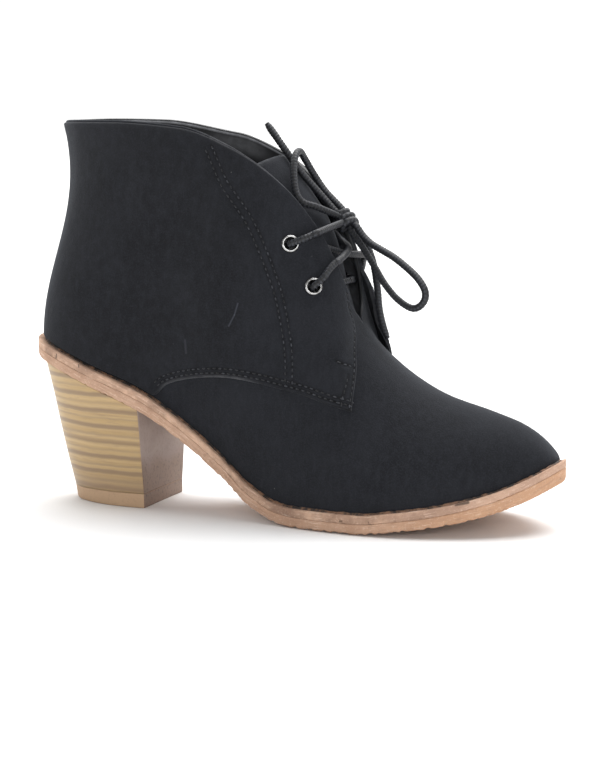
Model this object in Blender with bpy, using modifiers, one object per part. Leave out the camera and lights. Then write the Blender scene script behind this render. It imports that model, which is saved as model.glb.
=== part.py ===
"""Lace-up ankle boot on a stacked block heel, right foot.

Metres, +Z up. The toe points to +X, the outer side of the foot to -Y, and the floor is z = 0.
The sole's outline is drawn by an angle: 0 at the heel, 180 at the toe, so that a station lies at
x = -cos(angle) of half the length. Each rib of the upper is a cubic Bezier curve that starts on the
feather line at one angle and ends on the top edge: collar, facing edge or ridge.
"""
import math

import bmesh
import bpy
import numpy as np
from mathutils import Matrix, Vector

# Driving dimensions
LENGTH = 0.248
WELT = 0.0028
QUARTER_ALLOWANCE = 0.0014
MIDSOLE_THICKNESS = 0.0034
INSOLE_THICKNESS = 0.0025
UPPER_WALL = 0.0016
QUARTER_THICKNESS = 0.0012
TONGUE_THICKNESS = 0.0016
LACE_DIAMETER = 0.0032
TOP_LIFT_HEIGHT = 0.0062
HEEL_BREAST_ANGLE = 59.0
HEEL_INSET = 0.0015
GAP = 0.0003
FEATHER_GAP = 0.0005
QUARTER_GAP = 0.0005
INSOLE_CLEARANCE = 0.0008
THROAT_BASE_ANGLE = 112
TOE_TIP_Y = 0.004
# Angles between which the quarters' allowance and the ribs' own direction come in, towards the heel
ALLOWANCE_START = 80
ALLOWANCE_END = 55
ACROSS_START = 100
ACROSS_END = 60

# Outline of the sole: angle, edge on the outer side, edge on the inner side
OUTLINE = [
    (0, 0.0, 0.0),
    (20, -0.0170, 0.0170),
    (40, -0.0272, 0.0272),
    (60, -0.0295, 0.0275),
    (80, -0.0292, 0.0230),
    (100, -0.0385, 0.0320),
    (120, -0.0395, 0.0408),
    (140, -0.0280, 0.0330),
    (160, -0.0120, 0.0180),
    (180, TOE_TIP_Y, TOE_TIP_Y),
]
OUTLINE_STEP = 20.0

# Outsole: share of the length from the heel, height of its underside, thickness
PROFILE = [
    (0.00, 0.0665, 0.0046),
    (0.06, 0.0625, 0.0046),
    (0.15, 0.0547, 0.0046),
    (0.25, 0.0450, 0.0051),
    (0.33, 0.0328, 0.0053),
    (0.40, 0.0198, 0.0053),
    (0.47, 0.0063, 0.0051),
    (0.52, 0.0012, 0.0046),
    (0.56, 0.0, 0.0046),
    (0.68, 0.0, 0.0046),
    (0.74, 0.0018, 0.0046),
    (0.82, 0.0048, 0.0048),
    (0.90, 0.0096, 0.0053),
    (0.95, 0.0144, 0.0057),
    (1.00, 0.0209, 0.0059),
]

# Top edge of the upper: angle, x, half width, height, drop of the inner side
TOP_EDGE = [
    (0, -0.1092, 0.0, 0.1720, 0.0),
    (20, -0.0980, 0.0162, 0.1725, 0.0),
    (40, -0.0725, 0.0276, 0.1727, 0.0006),
    (60, -0.0390, 0.0322, 0.1705, 0.0040),
    (72, -0.0165, 0.0318, 0.1626, 0.0045),
    (80, -0.0015, 0.0268, 0.1522, 0.0034),
    (88, 0.0110, 0.0203, 0.1385, 0.0012),
    (95, 0.0200, 0.0163, 0.1242, 0.0),
    (102, 0.0268, 0.0130, 0.1080, 0.0),
    (108, 0.0306, 0.0080, 0.0945, 0.0),
    (THROAT_BASE_ANGLE, 0.0332, 0.0, 0.0859, 0.0),
    (120, 0.0481, 0.0, 0.0691, 0.0),
    (130, 0.0701, 0.0, 0.0560, 0.0),
    (140, 0.0900, 0.0, 0.0500, 0.0),
    (150, 0.1045, 0.0, 0.0450, 0.0),
    (160, 0.1130, 0.0, 0.0398, 0.0),
    (170, 0.1188, 0.0, 0.0340, 0.0),
    (180, 0.1212, 0.0, 0.0305, 0.0),
]

# Handles of the ribs: angle, lower handle outwards and up, upper handle outwards and down
HANDLES = [
    (0, -0.0007, 0.0356, -0.0099, 0.0394),
    (20, 0.0015, 0.0356, -0.0089, 0.0394),
    (40, 0.0041, 0.0360, -0.0060, 0.0396),
    (60, 0.0055, 0.040, -0.0020, 0.040),
    (80, 0.0090, 0.036, 0.0090, 0.036),
    (100, 0.0040, 0.028, 0.0150, 0.020),
    (112, 0.0030, 0.023, 0.0230, 0.003),
    (120, 0.0030, 0.020, 0.0220, 0.0),
    (140, 0.0025, 0.013, 0.0165, 0.0),
    (160, 0.0012, 0.006, 0.0085, 0.0),
    (170, 0.0006, 0.003, 0.0040, 0.0),
    (180, 0.0, 0.0, 0.0, 0.0),
]

# Lower edge of the quarters: angle, rise along the rib
QUARTER_LOW_EDGE = [
    (0, 0.012),
    (62, 0.012),
    (66, 0.093),
    (72, 0.190),
    (78, 0.278),
    (85, 0.362),
    (92, 0.410),
    (101, 0.440),
    (113, 0.456),
]

# Front edge of the quarters: share of the way from the low edge to the top edge, angle
QUARTER_FRONT_EDGE = [
    (0.0, 111.5),
    (0.36, 113.0),
    (0.60, 111.9),
    (0.80, 109.8),
    (0.97, 106.0),
    (1.0, 105.2),
]
QUARTER_BACK_ANGLE = 0.4
# The loose front of the inner quarter stands off the vamp between these angles and rises
FACING_LIFT = 0.0028
FACING_LIFT_ANGLES = (101.0, 106.0)
FACING_LIFT_RISES = (0.55, 0.72)

# Tongue, from its top edge down to its end under the vamp: x, height, half width, depth of its arch
TONGUE_ROWS = [
    (-0.0045, 0.1587, 0.0235, 0.0085),
    (0.0060, 0.1450, 0.0235, 0.0110),
    (0.0160, 0.1310, 0.0225, 0.0138),
    (0.0214, 0.1175, 0.0220, 0.0150),
    (0.0246, 0.1035, 0.0215, 0.0120),
    (0.0290, 0.0889, 0.0210, 0.0105),
    (0.0357, 0.0762, 0.0200, 0.0085),
    (0.0471, 0.0657, 0.0190, 0.0085),
]

# Heel block from the top lift up to the sole: share of the height, length scale, width scale
HEEL_TAPER = [
    (0.0, 0.733, 0.765),
    (0.25, 0.797, 0.818),
    (0.50, 0.855, 0.870),
    (0.75, 0.909, 0.922),
    (0.94, 0.955, 0.970),
    (1.0, 0.968, 0.985),
]

# Eyelets: name, angle and rise of the rib point that each one sits on
EYELETS = [
    ("low", 95.4, 0.785),
    ("high", 87.7, 0.836),
]
EYELET_HOLE_RADIUS = 0.0031
EYELET_BORE_RADIUS = 0.0023
EYELET_BARREL_RADIUS = 0.0028
EYELET_FLANGE_RADIUS = 0.0040
EYELET_FLANGE_HEIGHT = 0.0011
EYELET_INNER_EDGE = 0.0008
EYELET_OUTER_EDGE = 0.00045
EYELET_CUTTER_DEPTH = 0.014

# Routes of the lace, in order
LACE_KNOT_CENTRE = (0.0238, 0.0050, 0.1297)
LACE_KNOT_RADII = (0.0046, 0.0052, 0.0050)
LACE_LOOP_NEAR = [
    (0.0209, 0.0076, 0.1344),
    (0.0122, 0.0092, 0.1423),
    (0.0062, 0.0097, 0.1502),
    (0.0032, 0.0068, 0.1568),
    (0.0031, 0.0010, 0.1600),
    (0.0034, -0.0052, 0.1572),
    (0.0048, -0.0098, 0.1496),
    (0.0069, -0.0122, 0.1425),
    (0.0098, -0.0118, 0.1385),
    (0.0146, -0.0080, 0.1364),
    (0.0202, 0.0000, 0.1327),
]
LACE_LOOP_FAR = [
    (0.0286, 0.0030, 0.1281),
    (0.0324, 0.0022, 0.1237),
    (0.0366, 0.0008, 0.1205),
    (0.0421, -0.0010, 0.1180),
    (0.0485, -0.0030, 0.1151),
    (0.0553, -0.0052, 0.1109),
    (0.0609, -0.0074, 0.1067),
    (0.0645, -0.0090, 0.1021),
    (0.0647, -0.0094, 0.0980),
    (0.0619, -0.0092, 0.0947),
    (0.0578, -0.0084, 0.0942),
    (0.0511, -0.0062, 0.0976),
    (0.0446, -0.0036, 0.1035),
    (0.0386, -0.0006, 0.1109),
    (0.0327, 0.0018, 0.1183),
    (0.0271, 0.0034, 0.1245),
]
LACE_END_NEAR = [
    (0.0194, 0.0048, 0.1330),
    (0.0115, 0.0038, 0.1415),
    (0.0034, 0.0014, 0.1513),
    (-0.0035, -0.0002, 0.1611),
    (-0.0121, 0.0006, 0.1719),
]
LACE_END_FAR = [
    (0.0263, 0.0096, 0.1266),
    (0.0303, 0.0095, 0.1214),
    (0.0348, 0.0085, 0.1122),
    (0.0373, 0.0075, 0.1009),
    (0.0384, 0.0075, 0.0908),
    (0.0403, 0.0080, 0.0826),
    (0.0418, 0.0088, 0.0783),
]
# Height of the lace's centre over the skin where it crosses a facing, and its depth below it under one
LACE_OVER = 0.0038
LACE_LEAD_OVER = 0.0044
LACE_UNDER = 0.0036
# One crossing, from its own side to the other: angle, rise, side (1 own, -1 other), height over the skin
LACE_CROSSING = [
    (97.1, 0.842, 1, LACE_OVER),
    (97.9, 0.892, 1, LACE_OVER),
    (98.8, 0.948, 1, LACE_OVER),
    (99.7, 1.000, 1, LACE_OVER),
]
LACE_CROSSING_CENTRE = (0.0256, 0.0, 0.1168)
LACE_CROSSING_FAR = [
    (95.6, 0.985, -1, -LACE_UNDER),
    (91.5, 0.930, -1, -LACE_UNDER),
    (89.2, 0.882, -1, -LACE_UNDER),
]
LACE_BAR_HALF = [
    (97.0, 0.818, 1, -LACE_UNDER),
    (101.2, 0.910, 1, -LACE_UNDER),
]
LACE_BAR_CENTRE = (0.0266, 0.0, 0.1040)
LACE_LEAD = [
    (90.1, 0.884, 1, LACE_LEAD_OVER),
    (91.8, 0.927, 1, LACE_LEAD_OVER),
    (93.5, 0.978, 1, LACE_LEAD_OVER),
]

# Mesh steps
PLATE_STEPS = 48
UPPER_STEP = 4
UPPER_RISE_STEPS = 11
QUARTER_STEPS = 26
QUARTER_RISE_STEPS = 10
TONGUE_STEPS = 12
TONGUE_SIDE_STEPS = 10
HEEL_STEPS = 12
ROUND_STEPS = 16
KNOT_STEPS = 12
KNOT_RINGS = 8
LACE_POINT_SPACING = 0.0065
LACE_BEVEL_STEPS = 2
SPLINE_SAMPLES = 20
SHARP_ANGLE = 40
WELD = 0.000001
# Steps for slopes on the upper's face, and the last angle that a slope is taken at
ANGLE_STEP = 0.5
RISE_STEP = 0.01
LAST_ANGLE = 179.9

# Colours (linear), roughness, metallic
FINISHES = {
    "black_nubuck": ((0.022, 0.023, 0.026), 0.85, 0.0),
    "lining": ((0.010, 0.010, 0.011), 0.35, 0.0),
    "sole_edge": ((0.47, 0.30, 0.21), 0.75, 0.0),
    "stacked_heel": ((0.44, 0.30, 0.18), 0.55, 0.0),
    "top_lift": ((0.30, 0.21, 0.14), 0.70, 0.0),
    "nickel": ((0.55, 0.55, 0.56), 0.25, 1.0),
    "waxed_lace": ((0.015, 0.015, 0.016), 0.45, 0.0),
}


# Curves and surfaces

def smooth(rows, column, at, level_start=False):
    """Monotone cubic curve through one column of a table, read at values of its first column.

    With level_start the curve starts with no slope, as a value does that is alike on both sides
    of the heel.
    """
    table = np.array(rows, float)
    knots = table[:, 0]
    values = table[:, column]
    spans = np.diff(knots)
    slopes = np.diff(values) / spans
    tangents = np.zeros(len(knots))
    tangents[0] = 0.0 if level_start else slopes[0]
    tangents[-1] = slopes[-1]
    for i in range(1, len(knots) - 1):
        if slopes[i - 1] * slopes[i] > 0:
            before = 2 * spans[i] + spans[i - 1]
            after = spans[i] + 2 * spans[i - 1]
            tangents[i] = (before + after) / (before / slopes[i - 1] + after / slopes[i])
    at = np.clip(np.asarray(at, float), knots[0], knots[-1])
    k = np.clip(np.searchsorted(knots, at, side="right") - 1, 0, len(spans) - 1)
    t = (at - knots[k]) / spans[k]
    return hermite(t, spans[k], values[k], values[k + 1], tangents[k], tangents[k + 1])


def hermite(t, span, start, end, start_slope, end_slope):
    """Cubic Hermite curve between two knots."""
    rise = t * t * (3 - 2 * t)
    return (start * (1 - rise) + end * rise
            + span * (start_slope * t * (1 - t) ** 2 - end_slope * t * t * (1 - t)))


def fade(value, start, end):
    """Smooth step from 0 at the start to 1 at the end."""
    share = np.clip((value - start) / (end - start), 0, 1)
    return share * share * (3 - 2 * share)


def closed_ring():
    """Edge values once round the sole, and the slopes of the closed cubic spline through them."""
    outer = [row[1] for row in OUTLINE]
    inner = [row[2] for row in OUTLINE]
    ring = np.array(outer + inner[-2:0:-1])
    unit = np.eye(len(ring))
    matrix = 4 * unit + np.roll(unit, 1, axis=1) + np.roll(unit, -1, axis=1)
    slopes = np.linalg.solve(matrix, 3 * (np.roll(ring, -1) - np.roll(ring, 1)) / OUTLINE_STEP)
    return ring, slopes


RING, RING_SLOPES = closed_ring()


def outline(angle, inset):
    """Plan point of the sole's edge, moved inwards; angles from 180 to 360 are the inner side."""
    angle = np.mod(np.asarray(angle, float), 360.0)
    k = (angle // OUTLINE_STEP).astype(int) % len(RING)
    j = (k + 1) % len(RING)
    t = angle / OUTLINE_STEP - angle // OUTLINE_STEP
    y = hermite(t, OUTLINE_STEP, RING[k], RING[j], RING_SLOPES[k], RING_SLOPES[j])
    turn = np.radians(angle)
    return -(LENGTH / 2 - inset) * np.cos(turn), y + inset * np.sin(turn)


def feather_inset(angle):
    """Distance from the sole's edge to the upper, wider round the heel, where the quarters end."""
    from_heel = 180 - np.abs(180 - np.mod(np.asarray(angle, float), 360.0))
    return WELT + QUARTER_ALLOWANCE * fade(from_heel, ALLOWANCE_START, ALLOWANCE_END)


def feather_line(angle):
    """Plan point of the upper's lower edge."""
    return outline(angle, feather_inset(angle))


def underside(x):
    """Height of the outsole's underside."""
    return smooth(PROFILE, 1, np.asarray(x) / LENGTH + 0.5)


def outsole_top(x):
    return underside(x) + smooth(PROFILE, 2, np.asarray(x) / LENGTH + 0.5)


def midsole_bottom(x):
    return outsole_top(x) + GAP


def midsole_top(x):
    return midsole_bottom(x) + MIDSOLE_THICKNESS


def feather(x):
    """Height of the upper's lower edge, just clear of the midsole."""
    return midsole_top(x) + FEATHER_GAP


def insole_top(x):
    return feather(x) + INSOLE_THICKNESS


def skin(angle, rise, side):
    """Point of the upper's outer face: rise 0 at the sole, 1 at the top edge; side -1 outer, 1 inner."""
    angle = np.asarray(angle, float)
    rise = np.asarray(rise, float)[..., None]
    ring_angle = angle if side < 0 else 360.0 - angle
    x0, y0 = feather_line(ring_angle)
    x_after, y_after = feather_line(ring_angle + ANGLE_STEP)
    x_before, y_before = feather_line(ring_angle - ANGLE_STEP)
    normal = np.stack([y_after - y_before, x_before - x_after], -1)
    normal /= np.linalg.norm(normal, axis=-1, keepdims=True)
    # Over the forefoot the upper handle points straight across, so both sides join smoothly on the ridge
    keep = fade(angle, ACROSS_START, ACROSS_END)[..., None]
    across = normal * keep + np.array([0.0, side]) * (1 - keep)
    across /= np.linalg.norm(across, axis=-1, keepdims=True)
    x3 = smooth(TOP_EDGE, 1, angle, True)
    on_ridge = np.clip((angle - THROAT_BASE_ANGLE) / (180 - THROAT_BASE_ANGLE), 0, 1)
    y3 = side * smooth(TOP_EDGE, 2, angle) + TOE_TIP_Y * on_ridge
    z3 = smooth(TOP_EDGE, 3, angle, True)
    if side > 0:
        z3 = z3 - smooth(TOP_EDGE, 4, angle, True)
    columns = (1, 2, 3, 4)
    low_out, low_up, high_out, high_down = (smooth(HANDLES, column, angle, True) for column in columns)
    start = np.stack([x0, y0, feather(x0)], -1)
    end = np.stack([x3, y3, z3], -1)
    lower = start + np.concatenate([normal * low_out[..., None], low_up[..., None]], -1)
    upper = end + np.concatenate([across * high_out[..., None], -high_down[..., None]], -1)
    rest = 1 - rise
    low_half = rest ** 3 * start + 3 * rise * rest ** 2 * lower
    return low_half + 3 * rise ** 2 * rest * upper + rise ** 3 * end


def skin_normal(angle, rise, side):
    """Outward unit normal of the upper's outer face."""
    angle = np.asarray(angle, float)
    rise = np.asarray(rise, float)
    ahead = np.minimum(angle + ANGLE_STEP, LAST_ANGLE)
    behind = np.maximum(angle - ANGLE_STEP, 0.0)
    along = skin(ahead, rise, side) - skin(behind, rise, side)
    above = np.minimum(rise + RISE_STEP, 1.0)
    below = np.maximum(rise - RISE_STEP, 0.0)
    up = skin(angle, above, side) - skin(angle, below, side)
    normal = -side * np.cross(along, up)
    return normal / np.linalg.norm(normal, axis=-1, keepdims=True)


def above_skin(angle, rise, side, height):
    """Point at a height over the upper's outer face."""
    height = np.asarray(height, float)[..., None]
    return skin(angle, rise, side) + height * skin_normal(angle, rise, side)


def facing_lift(angle, rise, side):
    """Height of the inner quarter's loose front over its seat."""
    amount = FACING_LIFT if side > 0 else 0.0
    return amount * fade(angle, *FACING_LIFT_ANGLES) * fade(rise, *FACING_LIFT_RISES)


# Blender objects

def clear_scene():
    for item in list(bpy.data.objects):
        bpy.data.objects.remove(item)


def new_collection(name):
    collection = bpy.data.collections.new(name)
    bpy.context.scene.collection.children.link(collection)
    return collection


def new_material(name):
    colour, roughness, metallic = FINISHES[name]
    material = bpy.data.materials.new(name)
    material.use_nodes = True
    shader = material.node_tree.nodes["Principled BSDF"]
    shader.inputs["Base Color"].default_value = (*colour, 1.0)
    shader.inputs["Roughness"].default_value = roughness
    shader.inputs["Metallic"].default_value = metallic
    return material


clear_scene()
PARTS = new_collection("ankle_boot")
CUTTERS = new_collection("ankle_boot_cutters")
MATERIALS = {name: new_material(name) for name in FINISHES}


def add_object(name, data, finish):
    item = bpy.data.objects.new(name, data)
    data.materials.append(MATERIALS[finish])
    PARTS.objects.link(item)
    return item


def make_cutter(item):
    """Move an object to the cutters, where it shows as wire and isn't rendered."""
    for collection in list(item.users_collection):
        collection.objects.unlink(item)
    CUTTERS.objects.link(item)
    item.hide_render = True
    item.display_type = "WIRE"
    return item


def mesh_from_bmesh(name, shape):
    mesh = bpy.data.meshes.new(name)
    shape.to_mesh(mesh)
    shape.free()
    mesh.shade_smooth()
    mesh.set_sharp_from_angle(angle=math.radians(SHARP_ANGLE))
    return mesh


def grid_faces(shape, grid, flip):
    """Quads over a grid of vertices; flip turns them to face the other way."""
    for i in range(len(grid) - 1):
        for j in range(len(grid[i]) - 1):
            corners = [grid[i][j], grid[i + 1][j], grid[i + 1][j + 1], grid[i][j + 1]]
            shape.faces.new(corners[::-1] if flip else corners)


def grid_vertices(shape, points):
    return [[shape.verts.new(point) for point in row] for row in points]


def weld(shape):
    bmesh.ops.remove_doubles(shape, verts=shape.verts[:], dist=WELD)


def thicken(item, thickness, outwards):
    solidify = item.modifiers.new("wall", "SOLIDIFY")
    solidify.thickness = thickness
    solidify.offset = 1.0 if outwards else -1.0
    solidify.use_rim = True
    solidify.use_quality_normals = True


def cut(item, cutter, operation="DIFFERENCE"):
    boolean = item.modifiers.new("cut", "BOOLEAN")
    boolean.object = cutter
    boolean.operation = operation
    boolean.solver = "EXACT"


# Sole

def sole_inset(angle):
    return np.zeros(len(angle))


def insole_inset(angle):
    return feather_inset(angle) + UPPER_WALL + INSOLE_CLEARANCE


def plate(name, inset_at, low, high, finish):
    """Plate with the sole's outline moved inwards, between two heights that follow the length."""
    angles = np.linspace(0, 180, PLATE_STEPS + 1)
    x, outer = outline(angles, inset_at(angles))
    inner = outline(360 - angles, inset_at(angles))[1]
    loop = [np.stack([x, outer, low(x)], -1), np.stack([x, outer, high(x)], -1),
            np.stack([x, inner, high(x)], -1), np.stack([x, inner, low(x)], -1)]
    shape = bmesh.new()
    rows = grid_vertices(shape, loop + [loop[0]])
    grid_faces(shape, rows, True)
    weld(shape)
    return add_object(name, mesh_from_bmesh(name, shape), finish)


def heel_ring(length_scale, width_scale):
    """Plan points of a heel section, from the outer breast corner round the back to the inner one."""
    angles = np.linspace(HEEL_BREAST_ANGLE, -HEEL_BREAST_ANGLE, 2 * HEEL_STEPS + 1)
    x, y = outline(angles, HEEL_INSET)
    breast = x[0]
    return breast + (x - breast) * length_scale, y * width_scale


def heel_solid(name, sections, finish):
    """Loft through heel sections, closed below, above and at the breast."""
    shape = bmesh.new()
    rows = grid_vertices(shape, sections)
    grid_faces(shape, rows, False)
    for row, facing_up in ((rows[0], False), (rows[-1], True)):
        for i in range(HEEL_STEPS):
            corners = [row[i], row[i + 1], row[-2 - i], row[-1 - i]]
            corners = list(dict.fromkeys(corners))
            shape.faces.new(corners[::-1] if facing_up else corners)
    for below, above in zip(rows[:-1], rows[1:]):
        shape.faces.new([below[-1], below[0], above[0], above[-1]])
    bmesh.ops.recalc_face_normals(shape, faces=shape.faces[:])
    return add_object(name, mesh_from_bmesh(name, shape), finish)


def build_heel():
    base = TOP_LIFT_HEIGHT + GAP
    x_at_sole = heel_ring(*HEEL_TAPER[-1][1:])[0]
    sections = []
    for share, length_scale, width_scale in HEEL_TAPER:
        x, y = heel_ring(length_scale, width_scale)
        z = base + share * (underside(x_at_sole) - GAP - base)
        sections.append(np.stack([x, y, z], -1))
    heel_solid("heel_block", sections, "stacked_heel")
    x, y = heel_ring(*HEEL_TAPER[0][1:])
    lift = [np.stack([x, y, np.full(len(x), z)], -1) for z in (0.0, TOP_LIFT_HEIGHT)]
    heel_solid("heel_top_lift", lift, "top_lift")


def build_sole():
    plate("outsole", sole_inset, underside, outsole_top, "sole_edge")
    plate("midsole", sole_inset, midsole_bottom, midsole_top, "sole_edge")
    plate("insole", insole_inset, feather, insole_top, "lining")
    build_heel()


# Upper

def build_upper(holes):
    """Hollow wall over the last, open at the collar, the throat and underneath."""
    angles = np.arange(0, 180 + UPPER_STEP, UPPER_STEP)
    rises = np.linspace(0, 1, UPPER_RISE_STEPS + 1)
    angle, rise = np.meshgrid(angles, rises, indexing="ij")
    shape = bmesh.new()
    for side in (-1, 1):
        grid_faces(shape, grid_vertices(shape, skin(angle, rise, side)), side > 0)
    weld(shape)
    item = add_object("upper", mesh_from_bmesh("upper", shape), "black_nubuck")
    thicken(item, UPPER_WALL, False)
    cut(item, holes)


def build_quarter(name, side, holes):
    """Quarter laid over the vamp, from the back seam to the facing edge."""
    shares = np.linspace(0, 1, QUARTER_RISE_STEPS + 1)
    share, along = np.meshgrid(shares, np.linspace(0, 1, QUARTER_STEPS + 1))
    front = smooth(QUARTER_FRONT_EDGE, 1, share)
    angle = QUARTER_BACK_ANGLE + (front - QUARTER_BACK_ANGLE) * along
    low = smooth(QUARTER_LOW_EDGE, 1, angle)
    rise = low + (1 - low) * share
    points = above_skin(angle, rise, side, QUARTER_GAP + facing_lift(angle, rise, side))
    shape = bmesh.new()
    grid_faces(shape, grid_vertices(shape, points), side > 0)
    item = add_object(name, mesh_from_bmesh(name, shape), "black_nubuck")
    thicken(item, QUARTER_THICKNESS, True)
    cut(item, holes)


def build_tongue():
    """Arched strip under the throat, its lower end under the vamp."""
    rows = [(i, *row) for i, row in enumerate(TONGUE_ROWS)]
    along = np.linspace(0, len(rows) - 1, TONGUE_STEPS + 1)
    x, z, half_width, arch = (smooth(rows, column, along) for column in (1, 2, 3, 4))
    run = np.stack([np.gradient(x), np.gradient(z)], -1)
    run /= np.linalg.norm(run, axis=-1, keepdims=True)
    inwards = np.stack([run[:, 1], -run[:, 0]], -1)
    across = np.linspace(-1, 1, TONGUE_SIDE_STEPS + 1)
    points = []
    for i in range(len(along)):
        depth = arch[i] * across ** 2
        points.append(np.stack([x[i] + inwards[i, 0] * depth, half_width[i] * across,
                                z[i] + inwards[i, 1] * depth], -1))
    shape = bmesh.new()
    grid_faces(shape, grid_vertices(shape, points), False)
    item = add_object("tongue", mesh_from_bmesh("tongue", shape), "black_nubuck")
    thicken(item, TONGUE_THICKNESS, False)


# Eyelets

def eyelet_frames():
    """Name and placing of each eyelet: Z along the outward normal, origin on the upper's outer face."""
    frames = []
    for side, side_name in ((-1, "outer"), (1, "inner")):
        for level, angle, rise in EYELETS:
            point = Vector(skin(angle, rise, side))
            normal = Vector(skin_normal(angle, rise, side))
            turn = normal.to_track_quat("Z", "Y").to_matrix().to_4x4()
            frames.append((f"eyelet_{side_name}_{level}", Matrix.Translation(point) @ turn))
    return frames


def build_eyelet_holes(frames):
    """One cutter with a cylinder through the wall at each eyelet."""
    shape = bmesh.new()
    for _, frame in frames:
        bmesh.ops.create_cone(shape, cap_ends=True, segments=ROUND_STEPS, radius1=EYELET_HOLE_RADIUS,
                              radius2=EYELET_HOLE_RADIUS, depth=EYELET_CUTTER_DEPTH,
                              matrix=frame)
    return make_cutter(add_object("eyelet_holes", mesh_from_bmesh("eyelet_holes", shape), "nickel"))


def build_eyelet(name, frame):
    """Turned ring: a flange on the quarter and a barrel through the wall."""
    seat = QUARTER_GAP + QUARTER_THICKNESS + GAP
    middle = (EYELET_BORE_RADIUS + EYELET_FLANGE_RADIUS) / 2
    profile = [
        (EYELET_BORE_RADIUS, seat + EYELET_INNER_EDGE),
        (middle, seat + EYELET_FLANGE_HEIGHT),
        (EYELET_FLANGE_RADIUS, seat + EYELET_OUTER_EDGE),
        (EYELET_FLANGE_RADIUS, seat),
        (EYELET_BARREL_RADIUS, seat),
        (EYELET_BARREL_RADIUS, -UPPER_WALL),
        (EYELET_BORE_RADIUS, -UPPER_WALL),
    ]
    shape = bmesh.new()
    points = [shape.verts.new((radius, 0.0, height)) for radius, height in profile]
    for start, end in zip(points, points[1:] + points[:1]):
        shape.edges.new((start, end))
    mesh = bpy.data.meshes.new(name)
    shape.to_mesh(mesh)
    shape.free()
    item = add_object(name, mesh, "nickel")
    item.matrix_world = frame
    screw = item.modifiers.new("turn", "SCREW")
    screw.axis = "Z"
    screw.steps = ROUND_STEPS
    screw.render_steps = ROUND_STEPS
    screw.use_merge_vertices = True
    screw.merge_threshold = WELD
    screw.use_smooth_shade = True


# Lace

def spline_points(route):
    """Points at an even spacing on a smooth curve through the points of a route."""
    points = np.array(route, float)
    ends = np.vstack([2 * points[0] - points[1], points, 2 * points[-1] - points[-2]])
    dense = []
    for a, b, c, d in zip(ends[:-3], ends[1:-2], ends[2:-1], ends[3:]):
        t = np.linspace(0, 1, SPLINE_SAMPLES, endpoint=False)[:, None]
        dense.append(b + 0.5 * t * (c - a + t * (2 * a - 5 * b + 4 * c - d + t * (3 * (b - c) + d - a))))
    dense = np.vstack(dense + [points[-1:]])
    lengths = np.concatenate([[0], np.cumsum(np.linalg.norm(np.diff(dense, axis=0), axis=1))])
    count = round(lengths[-1] / LACE_POINT_SPACING)
    marks = np.linspace(0, lengths[-1], count + 1)
    return np.stack([np.interp(marks, lengths, dense[:, axis]) for axis in range(3)], -1)


def lace_tube(name, route):
    """Round cord along a route."""
    curve = bpy.data.curves.new(name, "CURVE")
    curve.dimensions = "3D"
    curve.bevel_depth = LACE_DIAMETER / 2
    curve.bevel_resolution = LACE_BEVEL_STEPS
    curve.use_fill_caps = True
    points = spline_points(route)
    spline = curve.splines.new("POLY")
    spline.points.add(len(points) - 1)
    for target, point in zip(spline.points, points):
        target.co = (*point, 1.0)
    return add_object(name, curve, "waxed_lace")


def tube_to_mesh(item):
    """The same cord as a closed mesh, so that it can be joined to another."""
    graph = bpy.context.evaluated_depsgraph_get()
    mesh = bpy.data.meshes.new_from_object(item.evaluated_get(graph))
    shape = bmesh.new()
    shape.from_mesh(mesh)
    weld(shape)
    shape.to_mesh(mesh)
    shape.free()
    name = item.name
    matrix = item.matrix_world.copy()
    bpy.data.objects.remove(item)
    solid = bpy.data.objects.new(name, mesh)
    solid.matrix_world = matrix
    PARTS.objects.link(solid)
    return solid


def on_side(rows, own_side):
    """Lace points given by rib places, for a lace whose own side is the outer or the inner one."""
    return [above_skin(angle, rise, own_side * which, height) for angle, rise, which, height in rows]


def build_lace_cross():
    """The two crossings over the throat, joined where they meet."""
    crossings = []
    for own_side, name in ((-1, "lace_cross"), (1, "lace_cross_second")):
        route = on_side(LACE_CROSSING, own_side)
        route.append(LACE_CROSSING_CENTRE)
        route.extend(on_side(LACE_CROSSING_FAR, own_side))
        crossings.append(tube_to_mesh(lace_tube(name, route)))
    cut(crossings[0], make_cutter(crossings[1]), "UNION")


def build_lace_bar():
    """Straight bar between the lower eyelets, under both facings."""
    route = on_side(LACE_BAR_HALF, -1) + [LACE_BAR_CENTRE] + on_side(LACE_BAR_HALF, 1)[::-1]
    lace_tube("lace_bar", route)


def build_lace_knot():
    """Knot of the bow, joined to the two leads from the upper eyelets."""
    shape = bmesh.new()
    scale = Matrix.Diagonal((*LACE_KNOT_RADII, 1.0))
    bmesh.ops.create_uvsphere(shape, u_segments=KNOT_STEPS, v_segments=KNOT_RINGS, radius=1.0,
                              matrix=Matrix.Translation(LACE_KNOT_CENTRE) @ scale)
    knot = add_object("lace_knot", mesh_from_bmesh("lace_knot", shape), "waxed_lace")
    for own_side, name in ((-1, "lace_lead_outer"), (1, "lace_lead_inner")):
        lead = tube_to_mesh(lace_tube(name, on_side(LACE_LEAD, own_side) + [LACE_KNOT_CENTRE]))
        cut(knot, make_cutter(lead), "UNION")


def build_lace():
    build_lace_bar()
    build_lace_cross()
    build_lace_knot()
    for name, route in (("lace_loop_near", LACE_LOOP_NEAR), ("lace_loop_far", LACE_LOOP_FAR),
                        ("lace_end_near", LACE_END_NEAR), ("lace_end_far", LACE_END_FAR)):
        lace_tube(name, route)


def build_boot():
    build_sole()
    frames = eyelet_frames()
    holes = build_eyelet_holes(frames)
    build_upper(holes)
    build_quarter("quarter_outer", -1, holes)
    build_quarter("quarter_inner", 1, holes)
    build_tongue()
    for name, frame in frames:
        build_eyelet(name, frame)
    build_lace()


build_boot()
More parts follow.
